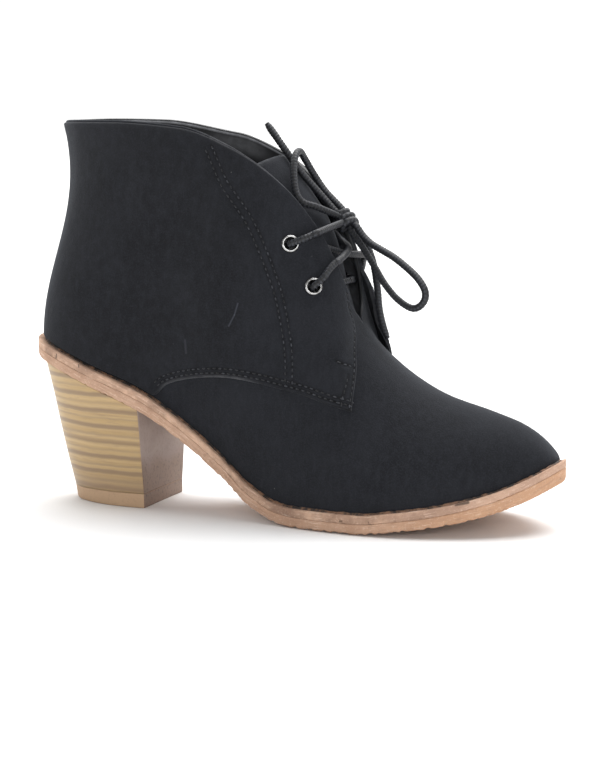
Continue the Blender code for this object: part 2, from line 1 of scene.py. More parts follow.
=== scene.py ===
"""Looks of the lace-up ankle boot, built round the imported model.

Metres, +Z up, toe to +X, outer side to -Y. The shape tables and the curves are those of the part's
source: a place on the upper is an angle along the sole (0 heel, 180 toe) and a rise (0 sole, 1 top edge).
"""
import math

import bmesh
import bpy
import numpy as np
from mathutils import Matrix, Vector
from mathutils.kdtree import KDTree


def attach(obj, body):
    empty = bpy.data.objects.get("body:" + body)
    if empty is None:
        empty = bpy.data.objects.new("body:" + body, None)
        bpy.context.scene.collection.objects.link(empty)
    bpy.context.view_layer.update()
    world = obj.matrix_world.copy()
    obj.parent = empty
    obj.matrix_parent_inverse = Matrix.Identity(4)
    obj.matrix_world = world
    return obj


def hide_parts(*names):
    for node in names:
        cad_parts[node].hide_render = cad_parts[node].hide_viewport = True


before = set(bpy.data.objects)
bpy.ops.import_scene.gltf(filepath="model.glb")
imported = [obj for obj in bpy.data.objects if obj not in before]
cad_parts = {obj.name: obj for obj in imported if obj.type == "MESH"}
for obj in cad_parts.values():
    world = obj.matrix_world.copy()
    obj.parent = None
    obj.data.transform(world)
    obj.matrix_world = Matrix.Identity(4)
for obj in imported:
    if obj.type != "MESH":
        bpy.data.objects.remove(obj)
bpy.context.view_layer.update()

# Sizes of the part
LENGTH = 0.248
WELT = 0.0028
QUARTER_ALLOWANCE = 0.0014
MIDSOLE_THICKNESS = 0.0034
INSOLE_THICKNESS = 0.0025
UPPER_WALL = 0.0016
QUARTER_THICKNESS = 0.0012
TONGUE_THICKNESS = 0.0016
LACE_RADIUS = 0.0016
TOP_LIFT_HEIGHT = 0.0062
HEEL_BREAST_ANGLE = 59.0
HEEL_INSET = 0.0015
GAP = 0.0003
FEATHER_GAP = 0.0005
QUARTER_GAP = 0.0005
INSOLE_CLEARANCE = 0.0008
THROAT_BASE_ANGLE = 112
TOE_TIP_Y = 0.004
ALLOWANCE_START = 80
ALLOWANCE_END = 55
ACROSS_START = 100
ACROSS_END = 60
OUTLINE_STEP = 20.0
ANGLE_STEP = 0.5
RISE_STEP = 0.01
LAST_ANGLE = 179.9
SHORTEST_NORMAL = 1e-12
SPLINE_STEPS = 24

# Outline of the sole: angle, edge on the outer side, edge on the inner side
OUTLINE = [
    (0, 0.0, 0.0),
    (20, -0.0170, 0.0170),
    (40, -0.0272, 0.0272),
    (60, -0.0295, 0.0275),
    (80, -0.0292, 0.0230),
    (100, -0.0385, 0.0320),
    (120, -0.0395, 0.0408),
    (140, -0.0280, 0.0330),
    (160, -0.0120, 0.0180),
    (180, TOE_TIP_Y, TOE_TIP_Y),
]
# Outsole: share of the length from the heel, height of its underside, thickness
PROFILE = [
    (0.00, 0.0665, 0.0046),
    (0.06, 0.0625, 0.0046),
    (0.15, 0.0547, 0.0046),
    (0.25, 0.0450, 0.0051),
    (0.33, 0.0328, 0.0053),
    (0.40, 0.0198, 0.0053),
    (0.47, 0.0063, 0.0051),
    (0.52, 0.0012, 0.0046),
    (0.56, 0.0, 0.0046),
    (0.68, 0.0, 0.0046),
    (0.74, 0.0018, 0.0046),
    (0.82, 0.0048, 0.0048),
    (0.90, 0.0096, 0.0053),
    (0.95, 0.0144, 0.0057),
    (1.00, 0.0209, 0.0059),
]
# Top edge of the upper: angle, x, half width, height, drop of the inner side
TOP_EDGE = [
    (0, -0.1092, 0.0, 0.1720, 0.0),
    (20, -0.0980, 0.0162, 0.1725, 0.0),
    (40, -0.0725, 0.0276, 0.1727, 0.0006),
    (60, -0.0390, 0.0322, 0.1705, 0.0040),
    (72, -0.0165, 0.0318, 0.1626, 0.0045),
    (80, -0.0015, 0.0268, 0.1522, 0.0034),
    (88, 0.0110, 0.0203, 0.1385, 0.0012),
    (95, 0.0200, 0.0163, 0.1242, 0.0),
    (102, 0.0268, 0.0130, 0.1080, 0.0),
    (108, 0.0306, 0.0080, 0.0945, 0.0),
    (THROAT_BASE_ANGLE, 0.0332, 0.0, 0.0859, 0.0),
    (120, 0.0481, 0.0, 0.0691, 0.0),
    (130, 0.0701, 0.0, 0.0560, 0.0),
    (140, 0.0900, 0.0, 0.0500, 0.0),
    (150, 0.1045, 0.0, 0.0450, 0.0),
    (160, 0.1130, 0.0, 0.0398, 0.0),
    (170, 0.1188, 0.0, 0.0340, 0.0),
    (180, 0.1212, 0.0, 0.0305, 0.0),
]
# Handles of the ribs: angle, lower handle outwards and up, upper handle outwards and down
HANDLES = [
    (0, -0.0007, 0.0356, -0.0099, 0.0394),
    (20, 0.0015, 0.0356, -0.0089, 0.0394),
    (40, 0.0041, 0.0360, -0.0060, 0.0396),
    (60, 0.0055, 0.040, -0.0020, 0.040),
    (80, 0.0090, 0.036, 0.0090, 0.036),
    (100, 0.0040, 0.028, 0.0150, 0.020),
    (112, 0.0030, 0.023, 0.0230, 0.003),
    (120, 0.0030, 0.020, 0.0220, 0.0),
    (140, 0.0025, 0.013, 0.0165, 0.0),
    (160, 0.0012, 0.006, 0.0085, 0.0),
    (170, 0.0006, 0.003, 0.0040, 0.0),
    (180, 0.0, 0.0, 0.0, 0.0),
]
# Lower edge of the quarters: angle, rise along the rib
QUARTER_LOW_EDGE = [
    (0, 0.012),
    (62, 0.012),
    (66, 0.093),
    (72, 0.190),
    (78, 0.278),
    (85, 0.362),
    (92, 0.410),
    (101, 0.440),
    (113, 0.456),
]
# Front edge of the quarters: share of the way from the low edge to the top edge, angle
QUARTER_FRONT_EDGE = [
    (0.0, 111.5),
    (0.36, 113.0),
    (0.60, 111.9),
    (0.80, 109.8),
    (0.97, 106.0),
    (1.0, 105.2),
]
QUARTER_BACK_ANGLE = 0.4
# The loose front of the inner quarter stands off the vamp between these angles and rises
FACING_LIFT = 0.0028
FACING_LIFT_ANGLES = (101.0, 106.0)
FACING_LIFT_RISES = (0.55, 0.72)
# Tongue, from its top edge down: x, height, half width, depth of its arch
TONGUE_ROWS = [
    (-0.0045, 0.1587, 0.0235, 0.0085),
    (0.0060, 0.1450, 0.0235, 0.0110),
    (0.0160, 0.1310, 0.0225, 0.0138),
    (0.0214, 0.1175, 0.0220, 0.0150),
    (0.0246, 0.1035, 0.0215, 0.0120),
    (0.0290, 0.0889, 0.0210, 0.0105),
    (0.0357, 0.0762, 0.0200, 0.0085),
    (0.0471, 0.0657, 0.0190, 0.0085),
]
# Heel block from the top lift up to the sole: share of the height, length scale, width scale
HEEL_TAPER = [
    (0.0, 0.733, 0.765),
    (0.25, 0.797, 0.818),
    (0.50, 0.855, 0.870),
    (0.75, 0.909, 0.922),
    (0.94, 0.955, 0.970),
    (1.0, 0.968, 0.985),
]
# Eyelets: name, angle and rise
EYELETS = {"low": (95.4, 0.785), "high": (87.7, 0.836)}
EYELET_SEAT = QUARTER_GAP + QUARTER_THICKNESS

# Routes of the lace, as in the part's source
LACE_KNOT_CENTRE = (0.0238, 0.0050, 0.1297)
LACE_LOOP_NEAR = [
    (0.0209, 0.0076, 0.1344),
    (0.0122, 0.0092, 0.1423),
    (0.0062, 0.0097, 0.1502),
    (0.0032, 0.0068, 0.1568),
    (0.0031, 0.0010, 0.1600),
    (0.0034, -0.0052, 0.1572),
    (0.0048, -0.0098, 0.1496),
    (0.0069, -0.0122, 0.1425),
    (0.0098, -0.0118, 0.1385),
    (0.0146, -0.0080, 0.1364),
    (0.0202, 0.0000, 0.1327),
]
LACE_LOOP_FAR = [
    (0.0286, 0.0030, 0.1281),
    (0.0324, 0.0022, 0.1237),
    (0.0366, 0.0008, 0.1205),
    (0.0421, -0.0010, 0.1180),
    (0.0485, -0.0030, 0.1151),
    (0.0553, -0.0052, 0.1109),
    (0.0609, -0.0074, 0.1067),
    (0.0645, -0.0090, 0.1021),
    (0.0647, -0.0094, 0.0980),
    (0.0619, -0.0092, 0.0947),
    (0.0578, -0.0084, 0.0942),
    (0.0511, -0.0062, 0.0976),
    (0.0446, -0.0036, 0.1035),
    (0.0386, -0.0006, 0.1109),
    (0.0327, 0.0018, 0.1183),
    (0.0271, 0.0034, 0.1245),
]
LACE_END_NEAR = [
    (0.0194, 0.0048, 0.1330),
    (0.0115, 0.0038, 0.1415),
    (0.0034, 0.0014, 0.1513),
    (-0.0035, -0.0002, 0.1611),
    (-0.0121, 0.0006, 0.1719),
]
LACE_END_FAR = [
    (0.0263, 0.0096, 0.1266),
    (0.0303, 0.0095, 0.1214),
    (0.0348, 0.0085, 0.1122),
    (0.0373, 0.0075, 0.1009),
    (0.0384, 0.0075, 0.0908),
    (0.0403, 0.0080, 0.0826),
    (0.0418, 0.0088, 0.0783),
]
LACE_OVER = 0.0038
LACE_LEAD_OVER = 0.0044
LACE_UNDER = 0.0036
# Places on the facings along one half of the lace: angle, rise, side (1 own, -1 other), height
LACE_BAR_HALF = [
    (101.2, 0.910, 1, -LACE_UNDER),
    (97.0, 0.818, 1, -LACE_UNDER),
]
LACE_CROSSING = [
    (97.1, 0.842, 1, LACE_OVER),
    (97.9, 0.892, 1, LACE_OVER),
    (98.8, 0.948, 1, LACE_OVER),
    (99.7, 1.000, 1, LACE_OVER),
]
LACE_CROSSING_FAR = [
    (95.6, 0.985, -1, -LACE_UNDER),
    (91.5, 0.930, -1, -LACE_UNDER),
    (89.2, 0.882, -1, -LACE_UNDER),
]
LACE_LEAD = [
    (90.1, 0.884, -1, LACE_LEAD_OVER),
    (91.8, 0.927, -1, LACE_LEAD_OVER),
    (93.5, 0.978, -1, LACE_LEAD_OVER),
]
LACE_BAR_CENTRE = (0.0266, 0.0, 0.1040)
LACE_CROSSING_CENTRE = (0.0256, 0.0, 0.1168)

# Seams on the quarters: angle and rise of points along each
STAY_SEAM = [
    (67.4, 0.967),
    (72.2, 0.868),
    (78.4, 0.799),
    (84.5, 0.713),
    (88.5, 0.645),
    (92.4, 0.536),
    (94.0, 0.435),
]
BAR_TACK = [(106.3, 0.624), (110.8, 0.639)]
STAY_ROW_SPACING = 0.0032
# Distances of the stitch rows from the quarters' low edge and front edge
LOW_ROWS = (0.0021, 0.0041)
FRONT_ROWS = (0.0016, 0.0046)
STITCH_PITCH = 0.0027
STITCH_LENGTH = 0.0017
STITCH_RADIUS = 0.00030
# Seed of the crumbs and the glue along the sole
SEED = 11


# Curves and surfaces

def smooth(rows, column, at, level_start=False):
    """Monotone cubic curve through one column of a table, read at values of its first column."""
    table = np.array(rows, float)
    knots = table[:, 0]
    values = table[:, column]
    spans = np.diff(knots)
    slopes = np.diff(values) / spans
    tangents = np.zeros(len(knots))
    tangents[0] = 0.0 if level_start else slopes[0]
    tangents[-1] = slopes[-1]
    for i in range(1, len(knots) - 1):
        if slopes[i - 1] * slopes[i] > 0:
            before = 2 * spans[i] + spans[i - 1]
            after = spans[i] + 2 * spans[i - 1]
            tangents[i] = (before + after) / (before / slopes[i - 1] + after / slopes[i])
    at = np.clip(np.asarray(at, float), knots[0], knots[-1])
    k = np.clip(np.searchsorted(knots, at, side="right") - 1, 0, len(spans) - 1)
    t = (at - knots[k]) / spans[k]
    return hermite(t, spans[k], values[k], values[k + 1], tangents[k], tangents[k + 1])


def hermite(t, span, start, end, start_slope, end_slope):
    """Cubic Hermite curve between two knots."""
    rise = t * t * (3 - 2 * t)
    return (start * (1 - rise) + end * rise
            + span * (start_slope * t * (1 - t) ** 2 - end_slope * t * t * (1 - t)))


def fade(value, start, end):
    """Smooth step from 0 at the start to 1 at the end."""
    share = np.clip((value - start) / (end - start), 0, 1)
    return share * share * (3 - 2 * share)


def closed_ring():
    """Edge values once round the sole, and the slopes of the closed cubic spline through them."""
    outer = [row[1] for row in OUTLINE]
    inner = [row[2] for row in OUTLINE]
    ring = np.array(outer + inner[-2:0:-1])
    identity = np.eye(len(ring))
    matrix = 4 * identity + np.roll(identity, 1, axis=1) + np.roll(identity, -1, axis=1)
    slopes = np.linalg.solve(matrix, 3 * (np.roll(ring, -1) - np.roll(ring, 1)) / OUTLINE_STEP)
    return ring, slopes


RING, RING_SLOPES = closed_ring()


def outline(angle, inset):
    """Plan point of the sole's edge, moved inwards; angles from 180 to 360 are the inner side."""
    angle = np.mod(np.asarray(angle, float), 360.0)
    k = (angle // OUTLINE_STEP).astype(int) % len(RING)
    j = (k + 1) % len(RING)
    t = angle / OUTLINE_STEP - angle // OUTLINE_STEP
    y = hermite(t, OUTLINE_STEP, RING[k], RING[j], RING_SLOPES[k], RING_SLOPES[j])
    turn = np.radians(angle)
    return -(LENGTH / 2 - inset) * np.cos(turn), y + inset * np.sin(turn)


def feather_inset(angle):
    """Distance from the sole's edge to the upper."""
    from_heel = 180 - np.abs(180 - np.mod(np.asarray(angle, float), 360.0))
    return WELT + QUARTER_ALLOWANCE * fade(from_heel, ALLOWANCE_START, ALLOWANCE_END)


def feather_line(angle):
    """Plan point of the upper's lower edge."""
    return outline(angle, feather_inset(angle))


def sole_share(x):
    """Share of the sole's length from the heel."""
    return np.asarray(x) / LENGTH + 0.5


def underside(x):
    """Height of the outsole's underside."""
    return smooth(PROFILE, 1, sole_share(x))


def outsole_top(x):
    return underside(x) + smooth(PROFILE, 2, sole_share(x))


def midsole_top(x):
    return outsole_top(x) + GAP + MIDSOLE_THICKNESS


def feather(x):
    """Height of the upper's lower edge."""
    return midsole_top(x) + FEATHER_GAP


def insole_top(x):
    return feather(x) + INSOLE_THICKNESS


def skin(angle, rise, side):
    """Point of the upper's outer face: rise 0 at the sole, 1 at the top edge; side -1 outer, 1 inner."""
    angle = np.asarray(angle, float)
    rise = np.asarray(rise, float)[..., None]
    ring_angle = angle if side < 0 else 360.0 - angle
    x0, y0 = feather_line(ring_angle)
    x_after, y_after = feather_line(ring_angle + ANGLE_STEP)
    x_before, y_before = feather_line(ring_angle - ANGLE_STEP)
    normal = unit(np.stack([y_after - y_before, x_before - x_after], -1))
    keep = fade(angle, ACROSS_START, ACROSS_END)[..., None]
    across = unit(normal * keep + np.array([0.0, side]) * (1 - keep))
    x3 = smooth(TOP_EDGE, 1, angle, True)
    on_ridge = np.clip((angle - THROAT_BASE_ANGLE) / (180 - THROAT_BASE_ANGLE), 0, 1)
    y3 = side * smooth(TOP_EDGE, 2, angle) + TOE_TIP_Y * on_ridge
    z3 = smooth(TOP_EDGE, 3, angle, True)
    if side > 0:
        z3 = z3 - smooth(TOP_EDGE, 4, angle, True)
    handles = [smooth(HANDLES, column, angle, True)[..., None] for column in (1, 2, 3, 4)]
    low_out, low_up, high_out, high_down = handles
    start = np.stack([x0, y0, feather(x0)], -1)
    end = np.stack([x3, y3, z3], -1)
    lower = start + np.concatenate([normal * low_out, low_up], -1)
    upper = end + np.concatenate([across * high_out, -high_down], -1)
    rest = 1 - rise
    low_half = rest ** 3 * start + 3 * rise * rest ** 2 * lower
    return low_half + 3 * rise ** 2 * rest * upper + rise ** 3 * end


def skin_slopes(angle, rise, side):
    """Slopes of the upper's outer face by angle and by rise."""
    angle = np.asarray(angle, float)
    rise = np.asarray(rise, float)
    ahead = np.minimum(angle + ANGLE_STEP, LAST_ANGLE)
    behind = np.maximum(angle - ANGLE_STEP, 0.0)
    along = (skin(ahead, rise, side) - skin(behind, rise, side)) / (ahead - behind)[..., None]
    above = np.minimum(rise + RISE_STEP, 1.0)
    below = np.maximum(rise - RISE_STEP, 0.0)
    up = (skin(angle, above, side) - skin(angle, below, side)) / (above - below)[..., None]
    return along, up


def skin_normal(angle, rise, side):
    """Outward unit normal of the upper's outer face."""
    along, up = skin_slopes(angle, rise, side)
    normal = -side * np.cross(along, up)
    return normal / np.maximum(np.linalg.norm(normal, axis=-1, keepdims=True), SHORTEST_NORMAL)


def above_skin(angle, rise, side, height):
    """Point at a height over the upper's outer face."""
    height = np.asarray(height, float)[..., None]
    return skin(angle, rise, side) + height * skin_normal(angle, rise, side)


def facing_lift(angle, rise, side):
    """Height of the inner quarter's loose front over its seat."""
    amount = FACING_LIFT if side > 0 else 0.0
    return amount * fade(angle, *FACING_LIFT_ANGLES) * fade(rise, *FACING_LIFT_RISES)


def spline_points(route, spacing):
    """Points at an even spacing on a smooth curve through the points of a route."""
    points = np.array(route, float)
    ends = np.vstack([2 * points[0] - points[1], points, 2 * points[-1] - points[-2]])
    t = np.linspace(0, 1, SPLINE_STEPS, endpoint=False)[:, None]
    dense = []
    for a, b, c, d in zip(ends[:-3], ends[1:-2], ends[2:-1], ends[3:]):
        dense.append(b + 0.5 * t * (c - a + t * (2 * a - 5 * b + 4 * c - d + t * (3 * (b - c) + d - a))))
    return even_points(np.vstack(dense + [points[-1:]]), spacing)


def even_points(points, spacing):
    """The same polyline with points at an even spacing."""
    lengths = path_lengths(points)
    marks = np.linspace(0, lengths[-1], max(3, round(lengths[-1] / spacing)) + 1)
    return np.stack([np.interp(marks, lengths, points[:, axis]) for axis in range(points.shape[1])], -1)


def unit(vectors):
    """Vectors scaled to length one."""
    return vectors / np.linalg.norm(vectors, axis=-1, keepdims=True)


def path_lengths(points):
    """Length of the way from the first point to each point."""
    steps = np.linalg.norm(np.diff(points, axis=0), axis=1)
    return np.concatenate([[0], np.cumsum(steps)])


# Meshes

# Distances under which points of a piece are joined
WELD = 1e-6
VAMP_WELD = 2e-6
CORD_WELD = 1e-7


def link(name, data):
    """New object in the scene."""
    item = bpy.data.objects.new(name, data)
    bpy.context.scene.collection.objects.link(item)
    return item


class Shape:
    """Grids of points collected into one mesh, with values that materials read."""

    def __init__(self):
        self.points = []
        self.faces = []
        self.slots = []
        self.values = {}
        self.count = 0

    def grid(self, points, flip=False, wrap=False, slot=0, keep=None, **values):
        """Add a grid; keep tells from the faces' centres which faces stay."""
        rows, columns = points.shape[:2]
        across = columns if wrap else columns - 1
        i, j = np.meshgrid(np.arange(rows - 1), np.arange(across), indexing="ij")
        k = (j + 1) % columns
        corners = [i * columns + j, (i + 1) * columns + j, (i + 1) * columns + k, i * columns + k]
        quads = np.stack(corners, -1).reshape(-1, 4)
        flat = points.reshape(-1, 3)
        if keep is not None:
            quads = quads[keep(flat[quads].mean(axis=1))]
        if flip:
            quads = quads[:, ::-1]
        self.faces.append(quads + self.count)
        self.slots.append(np.full(len(quads), slot))
        self.points.append(flat)
        for name in set(values) | set(self.values):
            filled = self.values.setdefault(name, [np.zeros(self.count)])
            given = values.get(name)
            filled.append(np.zeros(len(flat)) if given is None else np.asarray(given, float).reshape(-1))
        self.count += len(flat)

    def cap(self, ring, flip):
        """Close a ring with a fan to its middle."""
        middle = np.broadcast_to(ring.mean(axis=0), ring.shape)
        self.grid(np.stack([ring, middle]), flip=flip, wrap=True)

    def piece(self, name, materials, weld=0.0):
        """Object made of the collected grids."""
        mesh = bpy.data.meshes.new(name)
        mesh.from_pydata(np.vstack(self.points).tolist(), [], np.vstack(self.faces).tolist())
        for material in materials:
            mesh.materials.append(material)
        mesh.polygons.foreach_set("material_index", np.concatenate(self.slots))
        for value_name, parts in self.values.items():
            attribute = mesh.attributes.new(value_name, "FLOAT", "POINT")
            attribute.data.foreach_set("value", np.concatenate(parts))
        if weld:
            shape = bmesh.new()
            shape.from_mesh(mesh)
            bmesh.ops.remove_doubles(shape, verts=shape.verts[:], dist=weld)
            bmesh.ops.dissolve_degenerate(shape, dist=weld, edges=shape.edges[:])
            shape.to_mesh(mesh)
            shape.free()
        mesh.shade_smooth()
        return link(name, mesh)


def finish_piece(item, slot, *nodes):
    """A piece rides on the boot and may stand for nodes of the part. The slot argument is not used."""
    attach(item, "root")
    if nodes:
        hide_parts(*nodes)
    return item


def edge_fine(count, fine):
    """Shares from 0 to 1 with extra ones close to both ends."""
    fine = np.array(fine)
    return np.concatenate([[0.0], fine, np.linspace(0, 1, count + 1)[1:-1], 1 - fine[::-1], [1.0]])


def tube(centre, first, second, radius, sides):
    """Rings of points round a line, in the plane of two directions at each of its points."""
    turns = np.linspace(0, 2 * math.pi, sides + 1)[:-1]
    around = first[:, None] * np.cos(turns)[:, None] + second[:, None] * np.sin(turns)[:, None]
    return centre[:, None] + radius[..., None] * around


# Materials, with noise scales per metre, bump distances in metres and linear colours

class Surface:
    """Node material with short calls for the nodes that the boot uses."""

    def __init__(self, name):
        self.material = bpy.data.materials.new(name)
        self.material.use_nodes = True
        self.tree = self.material.node_tree
        self.shader = self.tree.nodes["Principled BSDF"]
        self.place = self.add("ShaderNodeTexCoord").outputs["Object"]

    def add(self, kind, inputs=(), **settings):
        """Node with its settings, and with values or links at its inputs."""
        node = self.tree.nodes.new(kind)
        for key, value in settings.items():
            setattr(node, key, value)
        for key, value in dict(inputs).items():
            self.put(node.inputs[key], value)
        return node

    def put(self, socket, value):
        if isinstance(value, bpy.types.NodeSocket):
            self.tree.links.new(value, socket)
        else:
            socket.default_value = value

    def vectors(self, operation, first, second):
        return self.add("ShaderNodeVectorMath", {0: first, 1: second}, operation=operation)

    def stretch(self, scale):
        return self.vectors("MULTIPLY", self.place, scale).outputs[0]

    def noise(self, scale, detail=3.0, rough=0.55, vector=None):
        inputs = {"Vector": vector or self.place, "Scale": scale, "Detail": detail, "Roughness": rough}
        return self.add("ShaderNodeTexNoise", inputs).outputs["Fac"]

    def cells(self, scale, feature="F1"):
        inputs = {"Vector": self.place, "Scale": scale}
        return self.add("ShaderNodeTexVoronoi", inputs, feature=feature).outputs["Distance"]

    def spread(self, value, low, high, to_low=0.0, to_high=1.0):
        """Value mapped from one range to another, smooth and clamped."""
        inputs = {"Value": value, "From Min": low, "From Max": high, "To Min": to_low, "To Max": to_high}
        return self.add("ShaderNodeMapRange", inputs, interpolation_type="SMOOTHSTEP").outputs["Result"]

    def math(self, operation, first, second=0.0):
        return self.add("ShaderNodeMath", {0: first, 1: second}, operation=operation).outputs[0]

    def times(self, first, second):
        return self.math("MULTIPLY", first, second)

    def mix(self, share, first, second):
        return self.add("ShaderNodeMix", {"Factor": share, 6: first, 7: second}, data_type="RGBA").outputs[2]

    def layer(self, base, mask, start, full, share, colour):
        """Colour laid over a base where a mask goes from its start to its full value."""
        return self.mix(self.spread(mask, start, full, 0.0, share), base, colour)

    def layers(self, base, rows):
        for row in rows:
            base = self.layer(base, *row)
        return base

    def tint(self, base, mask, share, colour):
        """Colour laid over a base by a share of a mask."""
        return self.mix(self.times(mask, share), base, colour)

    def value(self, name):
        return self.add("ShaderNodeAttribute", attribute_name=name).outputs["Fac"]

    def along_edge(self, run_scale):
        """Place on a sole edge: distance along it, shortened, and height up it."""
        inputs = {0: self.times(self.value("run"), run_scale), 1: self.value("level")}
        return self.add("ShaderNodeCombineXYZ", inputs).outputs[0]

    def place_part(self, axis):
        return self.add("ShaderNodeSeparateXYZ", {0: self.place}).outputs[axis]

    def bump(self, height, distance, strength, normal=None):
        inputs = {"Strength": strength, "Distance": distance, "Height": height}
        if normal is not None:
            inputs["Normal"] = normal
        return self.add("ShaderNodeBump", inputs).outputs["Normal"]

    def streak(self, start, end, width):
        """Mask of a narrow mark from one point to another."""
        run = Vector(end) - Vector(start)
        from_start = self.vectors("SUBTRACT", self.place, start).outputs[0]
        reached = self.vectors("DOT_PRODUCT", from_start, run / run.length_squared).outputs["Value"]
        share = self.add("ShaderNodeClamp", {0: reached}).outputs[0]
        line = self.add("ShaderNodeVectorMath", {0: run, "Scale": share}, operation="SCALE").outputs[0]
        away = self.vectors("SUBTRACT", from_start, line).outputs[0]
        distance = self.add("ShaderNodeVectorMath", {0: away}, operation="LENGTH").outputs["Value"]
        return self.spread(distance, width, width * STREAK_CORE)

    def finish(self, base, roughness, normal=None, specular=0.5):
        """Connect the shader and give the material."""
        self.put(self.shader.inputs["Base Color"], base)
        self.put(self.shader.inputs["Roughness"], roughness)
        if normal is not None:
            self.put(self.shader.inputs["Normal"], normal)
        self.shader.inputs["Specular IOR Level"].default_value = specular
        return self.material


# Share of a streak's width that has its full strength
STREAK_CORE = 0.3
NUBUCK_TINT = (0.90, 0.97, 1.20)
NAP_SHEEN = {"Sheen Weight": 0.09, "Sheen Roughness": 0.42, "Sheen Tint": (0.75, 0.8, 0.9, 1.0)}
# Pale scuffs on the outer quarter: start, end, width, share
SCUFFS = [
    ((-0.0154, -0.0350, 0.0861), (-0.0127, -0.0351, 0.0910), 0.0005, 0.30),
    ((-0.0127, -0.0351, 0.0910), (-0.0111, -0.0350, 0.0960), 0.0005, 0.30),
    ((-0.0373, -0.0324, 0.0785), (-0.0371, -0.0320, 0.0730), 0.0008, 0.16),
]
# Dark marks on the sole's edge: start, end, width
SOLE_MARKS = [
    ((0.0865, -0.0322, 0.0149), (0.0910, -0.0299, 0.0157), 0.0011),
    ((-0.1050, -0.0241, 0.0682), (-0.1053, -0.0241, 0.0664), 0.0005),
    ((-0.0921, -0.0278, 0.0650), (-0.0918, -0.0278, 0.0634), 0.0004),
]
HEEL_LAYER = 0.0072
HEEL_PHASE = 0.6
HEEL_WOBBLE = 0.0006
# Heights between which the heel's stacked face turns browner, and its plain faces change
HEEL_FOOT = (0.019, 0.006)
PLAIN_FOOT = (0.024, 0.014)
PLAIN_FOOT_WOBBLE = 0.004
# Part of the sole's length over which its edge takes the toe's colour
TOE_TURN = (0.03, 0.11)


def grey(value, tint=(1.0, 1.0, 1.0)):
    """Colour of a brightness and a tint."""
    return (value * tint[0], value * tint[1], value * tint[2], 1.0)


def black(value):
    """Bluish black of the leather and the lace."""
    return grey(value, NUBUCK_TINT)


def warm(value, green, blue):
    """Warm colour of the sole and the heel."""
    return grey(value, (1.0, green, blue))


def nubuck_material():
    """Dull nap, cloudy and brushed, paler where worn and where light and highlights are painted, darker where
    shade is painted, with lint and scuffs.
    """
    surface = Surface("black_nubuck")
    cloud = surface.noise(38, 5.0, 0.6)
    nap = surface.noise(1500, 3.0, 0.7)
    brushed = surface.noise(420, 4.0, 0.6, surface.stretch((1.0, 1.0, 0.35)))
    base = surface.layer(black(0.0100), cloud, 0.3, 0.72, 1.0, black(0.0150))
    base = surface.layer(base, brushed, 0.35, 0.8, 0.4, black(0.024))
    base = surface.layer(base, nap, 0.4, 0.75, 0.5, black(0.029))
    patchy = surface.spread(surface.noise(260), 0.3, 0.62, 0.25, 1.0)
    # Paler where worn, and painted light and painted highlights, by the wear and painted light value
    base = surface.tint(base, surface.value("wear"), patchy, grey(0.105, (1.0, 1.0, 1.06)))
    # Painted shade in the stitch furrows, along the quarters' low edge, on their rear and beside the throat
    furrow = surface.times(surface.value("furrow"), patchy)
    base = surface.tint(base, furrow, 0.9, grey(0.0035))
    specks = surface.spread(surface.cells(105), 0.045, 0.02)
    lint = surface.times(specks, surface.spread(surface.noise(70, 1.0), 0.56, 0.62))
    base = surface.tint(base, lint, 0.5, grey(0.15))
    for start, end, width, share in SCUFFS:
        base = surface.tint(base, surface.streak(start, end, width), share, black(0.10))
    for key, value in NAP_SHEEN.items():
        surface.shader.inputs[key].default_value = value
    fine = surface.bump(nap, 0.00022, 0.55)
    return surface.finish(base, 0.88, surface.bump(surface.noise(120, 4.0), 0.0005, 0.3, fine), 0.16)


def lining_material():
    """Smooth leather with a fine grain, with painted light and painted highlights where its value says so."""
    surface = Surface("lining_leather")
    grain = surface.cells(650, feature="SMOOTH_F1")
    cloud = surface.noise(60, 4.0)
    base = surface.layer(black(0.0048), cloud, 0.3, 0.7, 1.0, black(0.0085))
    patchy = surface.spread(surface.noise(330), 0.35, 0.65, 0.7, 1.0)
    # Painted light and painted highlights where the value says so
    base = surface.tint(base, surface.value("wear"), patchy, grey(0.45, (0.96, 0.98, 1.05)))
    wrinkled = surface.bump(surface.noise(70, 2.0, 0.5), 0.0008, 0.2)
    normal = surface.bump(grain, 0.0003, 0.12, wrinkled)
    return surface.finish(base, surface.spread(cloud, 0.25, 0.75, 0.36, 0.50), normal, 0.35)


def thread_material():
    surface = Surface("thread")
    twist = surface.noise(520, 2.0)
    base = surface.layer(black(0.007), twist, 0.40, 0.66, 1.0, grey(0.040, (0.88, 0.96, 1.2)))
    return surface.finish(base, 0.65, surface.bump(surface.noise(4000, 2.0), 0.0001, 0.5))


def nickel_material():
    """Worn plate."""
    surface = Surface("nickel")
    cloud = surface.noise(900)
    base = surface.layer(grey(0.38), cloud, 0.4, 0.75, 1.0, warm(0.20, 0.95, 0.88))
    surface.shader.inputs["Metallic"].default_value = 1.0
    roughness = surface.spread(cloud, 0.3, 0.8, 0.10, 0.24)
    return surface.finish(base, roughness, surface.bump(cloud, 0.0001, 0.25))


def lace_material():
    """Waxed cord, with a painted highlight on the tops of its braid."""
    surface = Surface("waxed_lace")
    fibre = surface.noise(2200)
    base = surface.layer(black(0.0040), fibre, 0.3, 0.75, 1.0, black(0.0120))
    # Painted highlight on the tops of the braid
    base = surface.tint(base, surface.value("braid"), 0.9, black(0.055))
    roughness = surface.spread(fibre, 0.3, 0.8, 0.38, 0.60)
    return surface.finish(base, roughness, surface.bump(fibre, 0.0004, 0.7), 0.38)


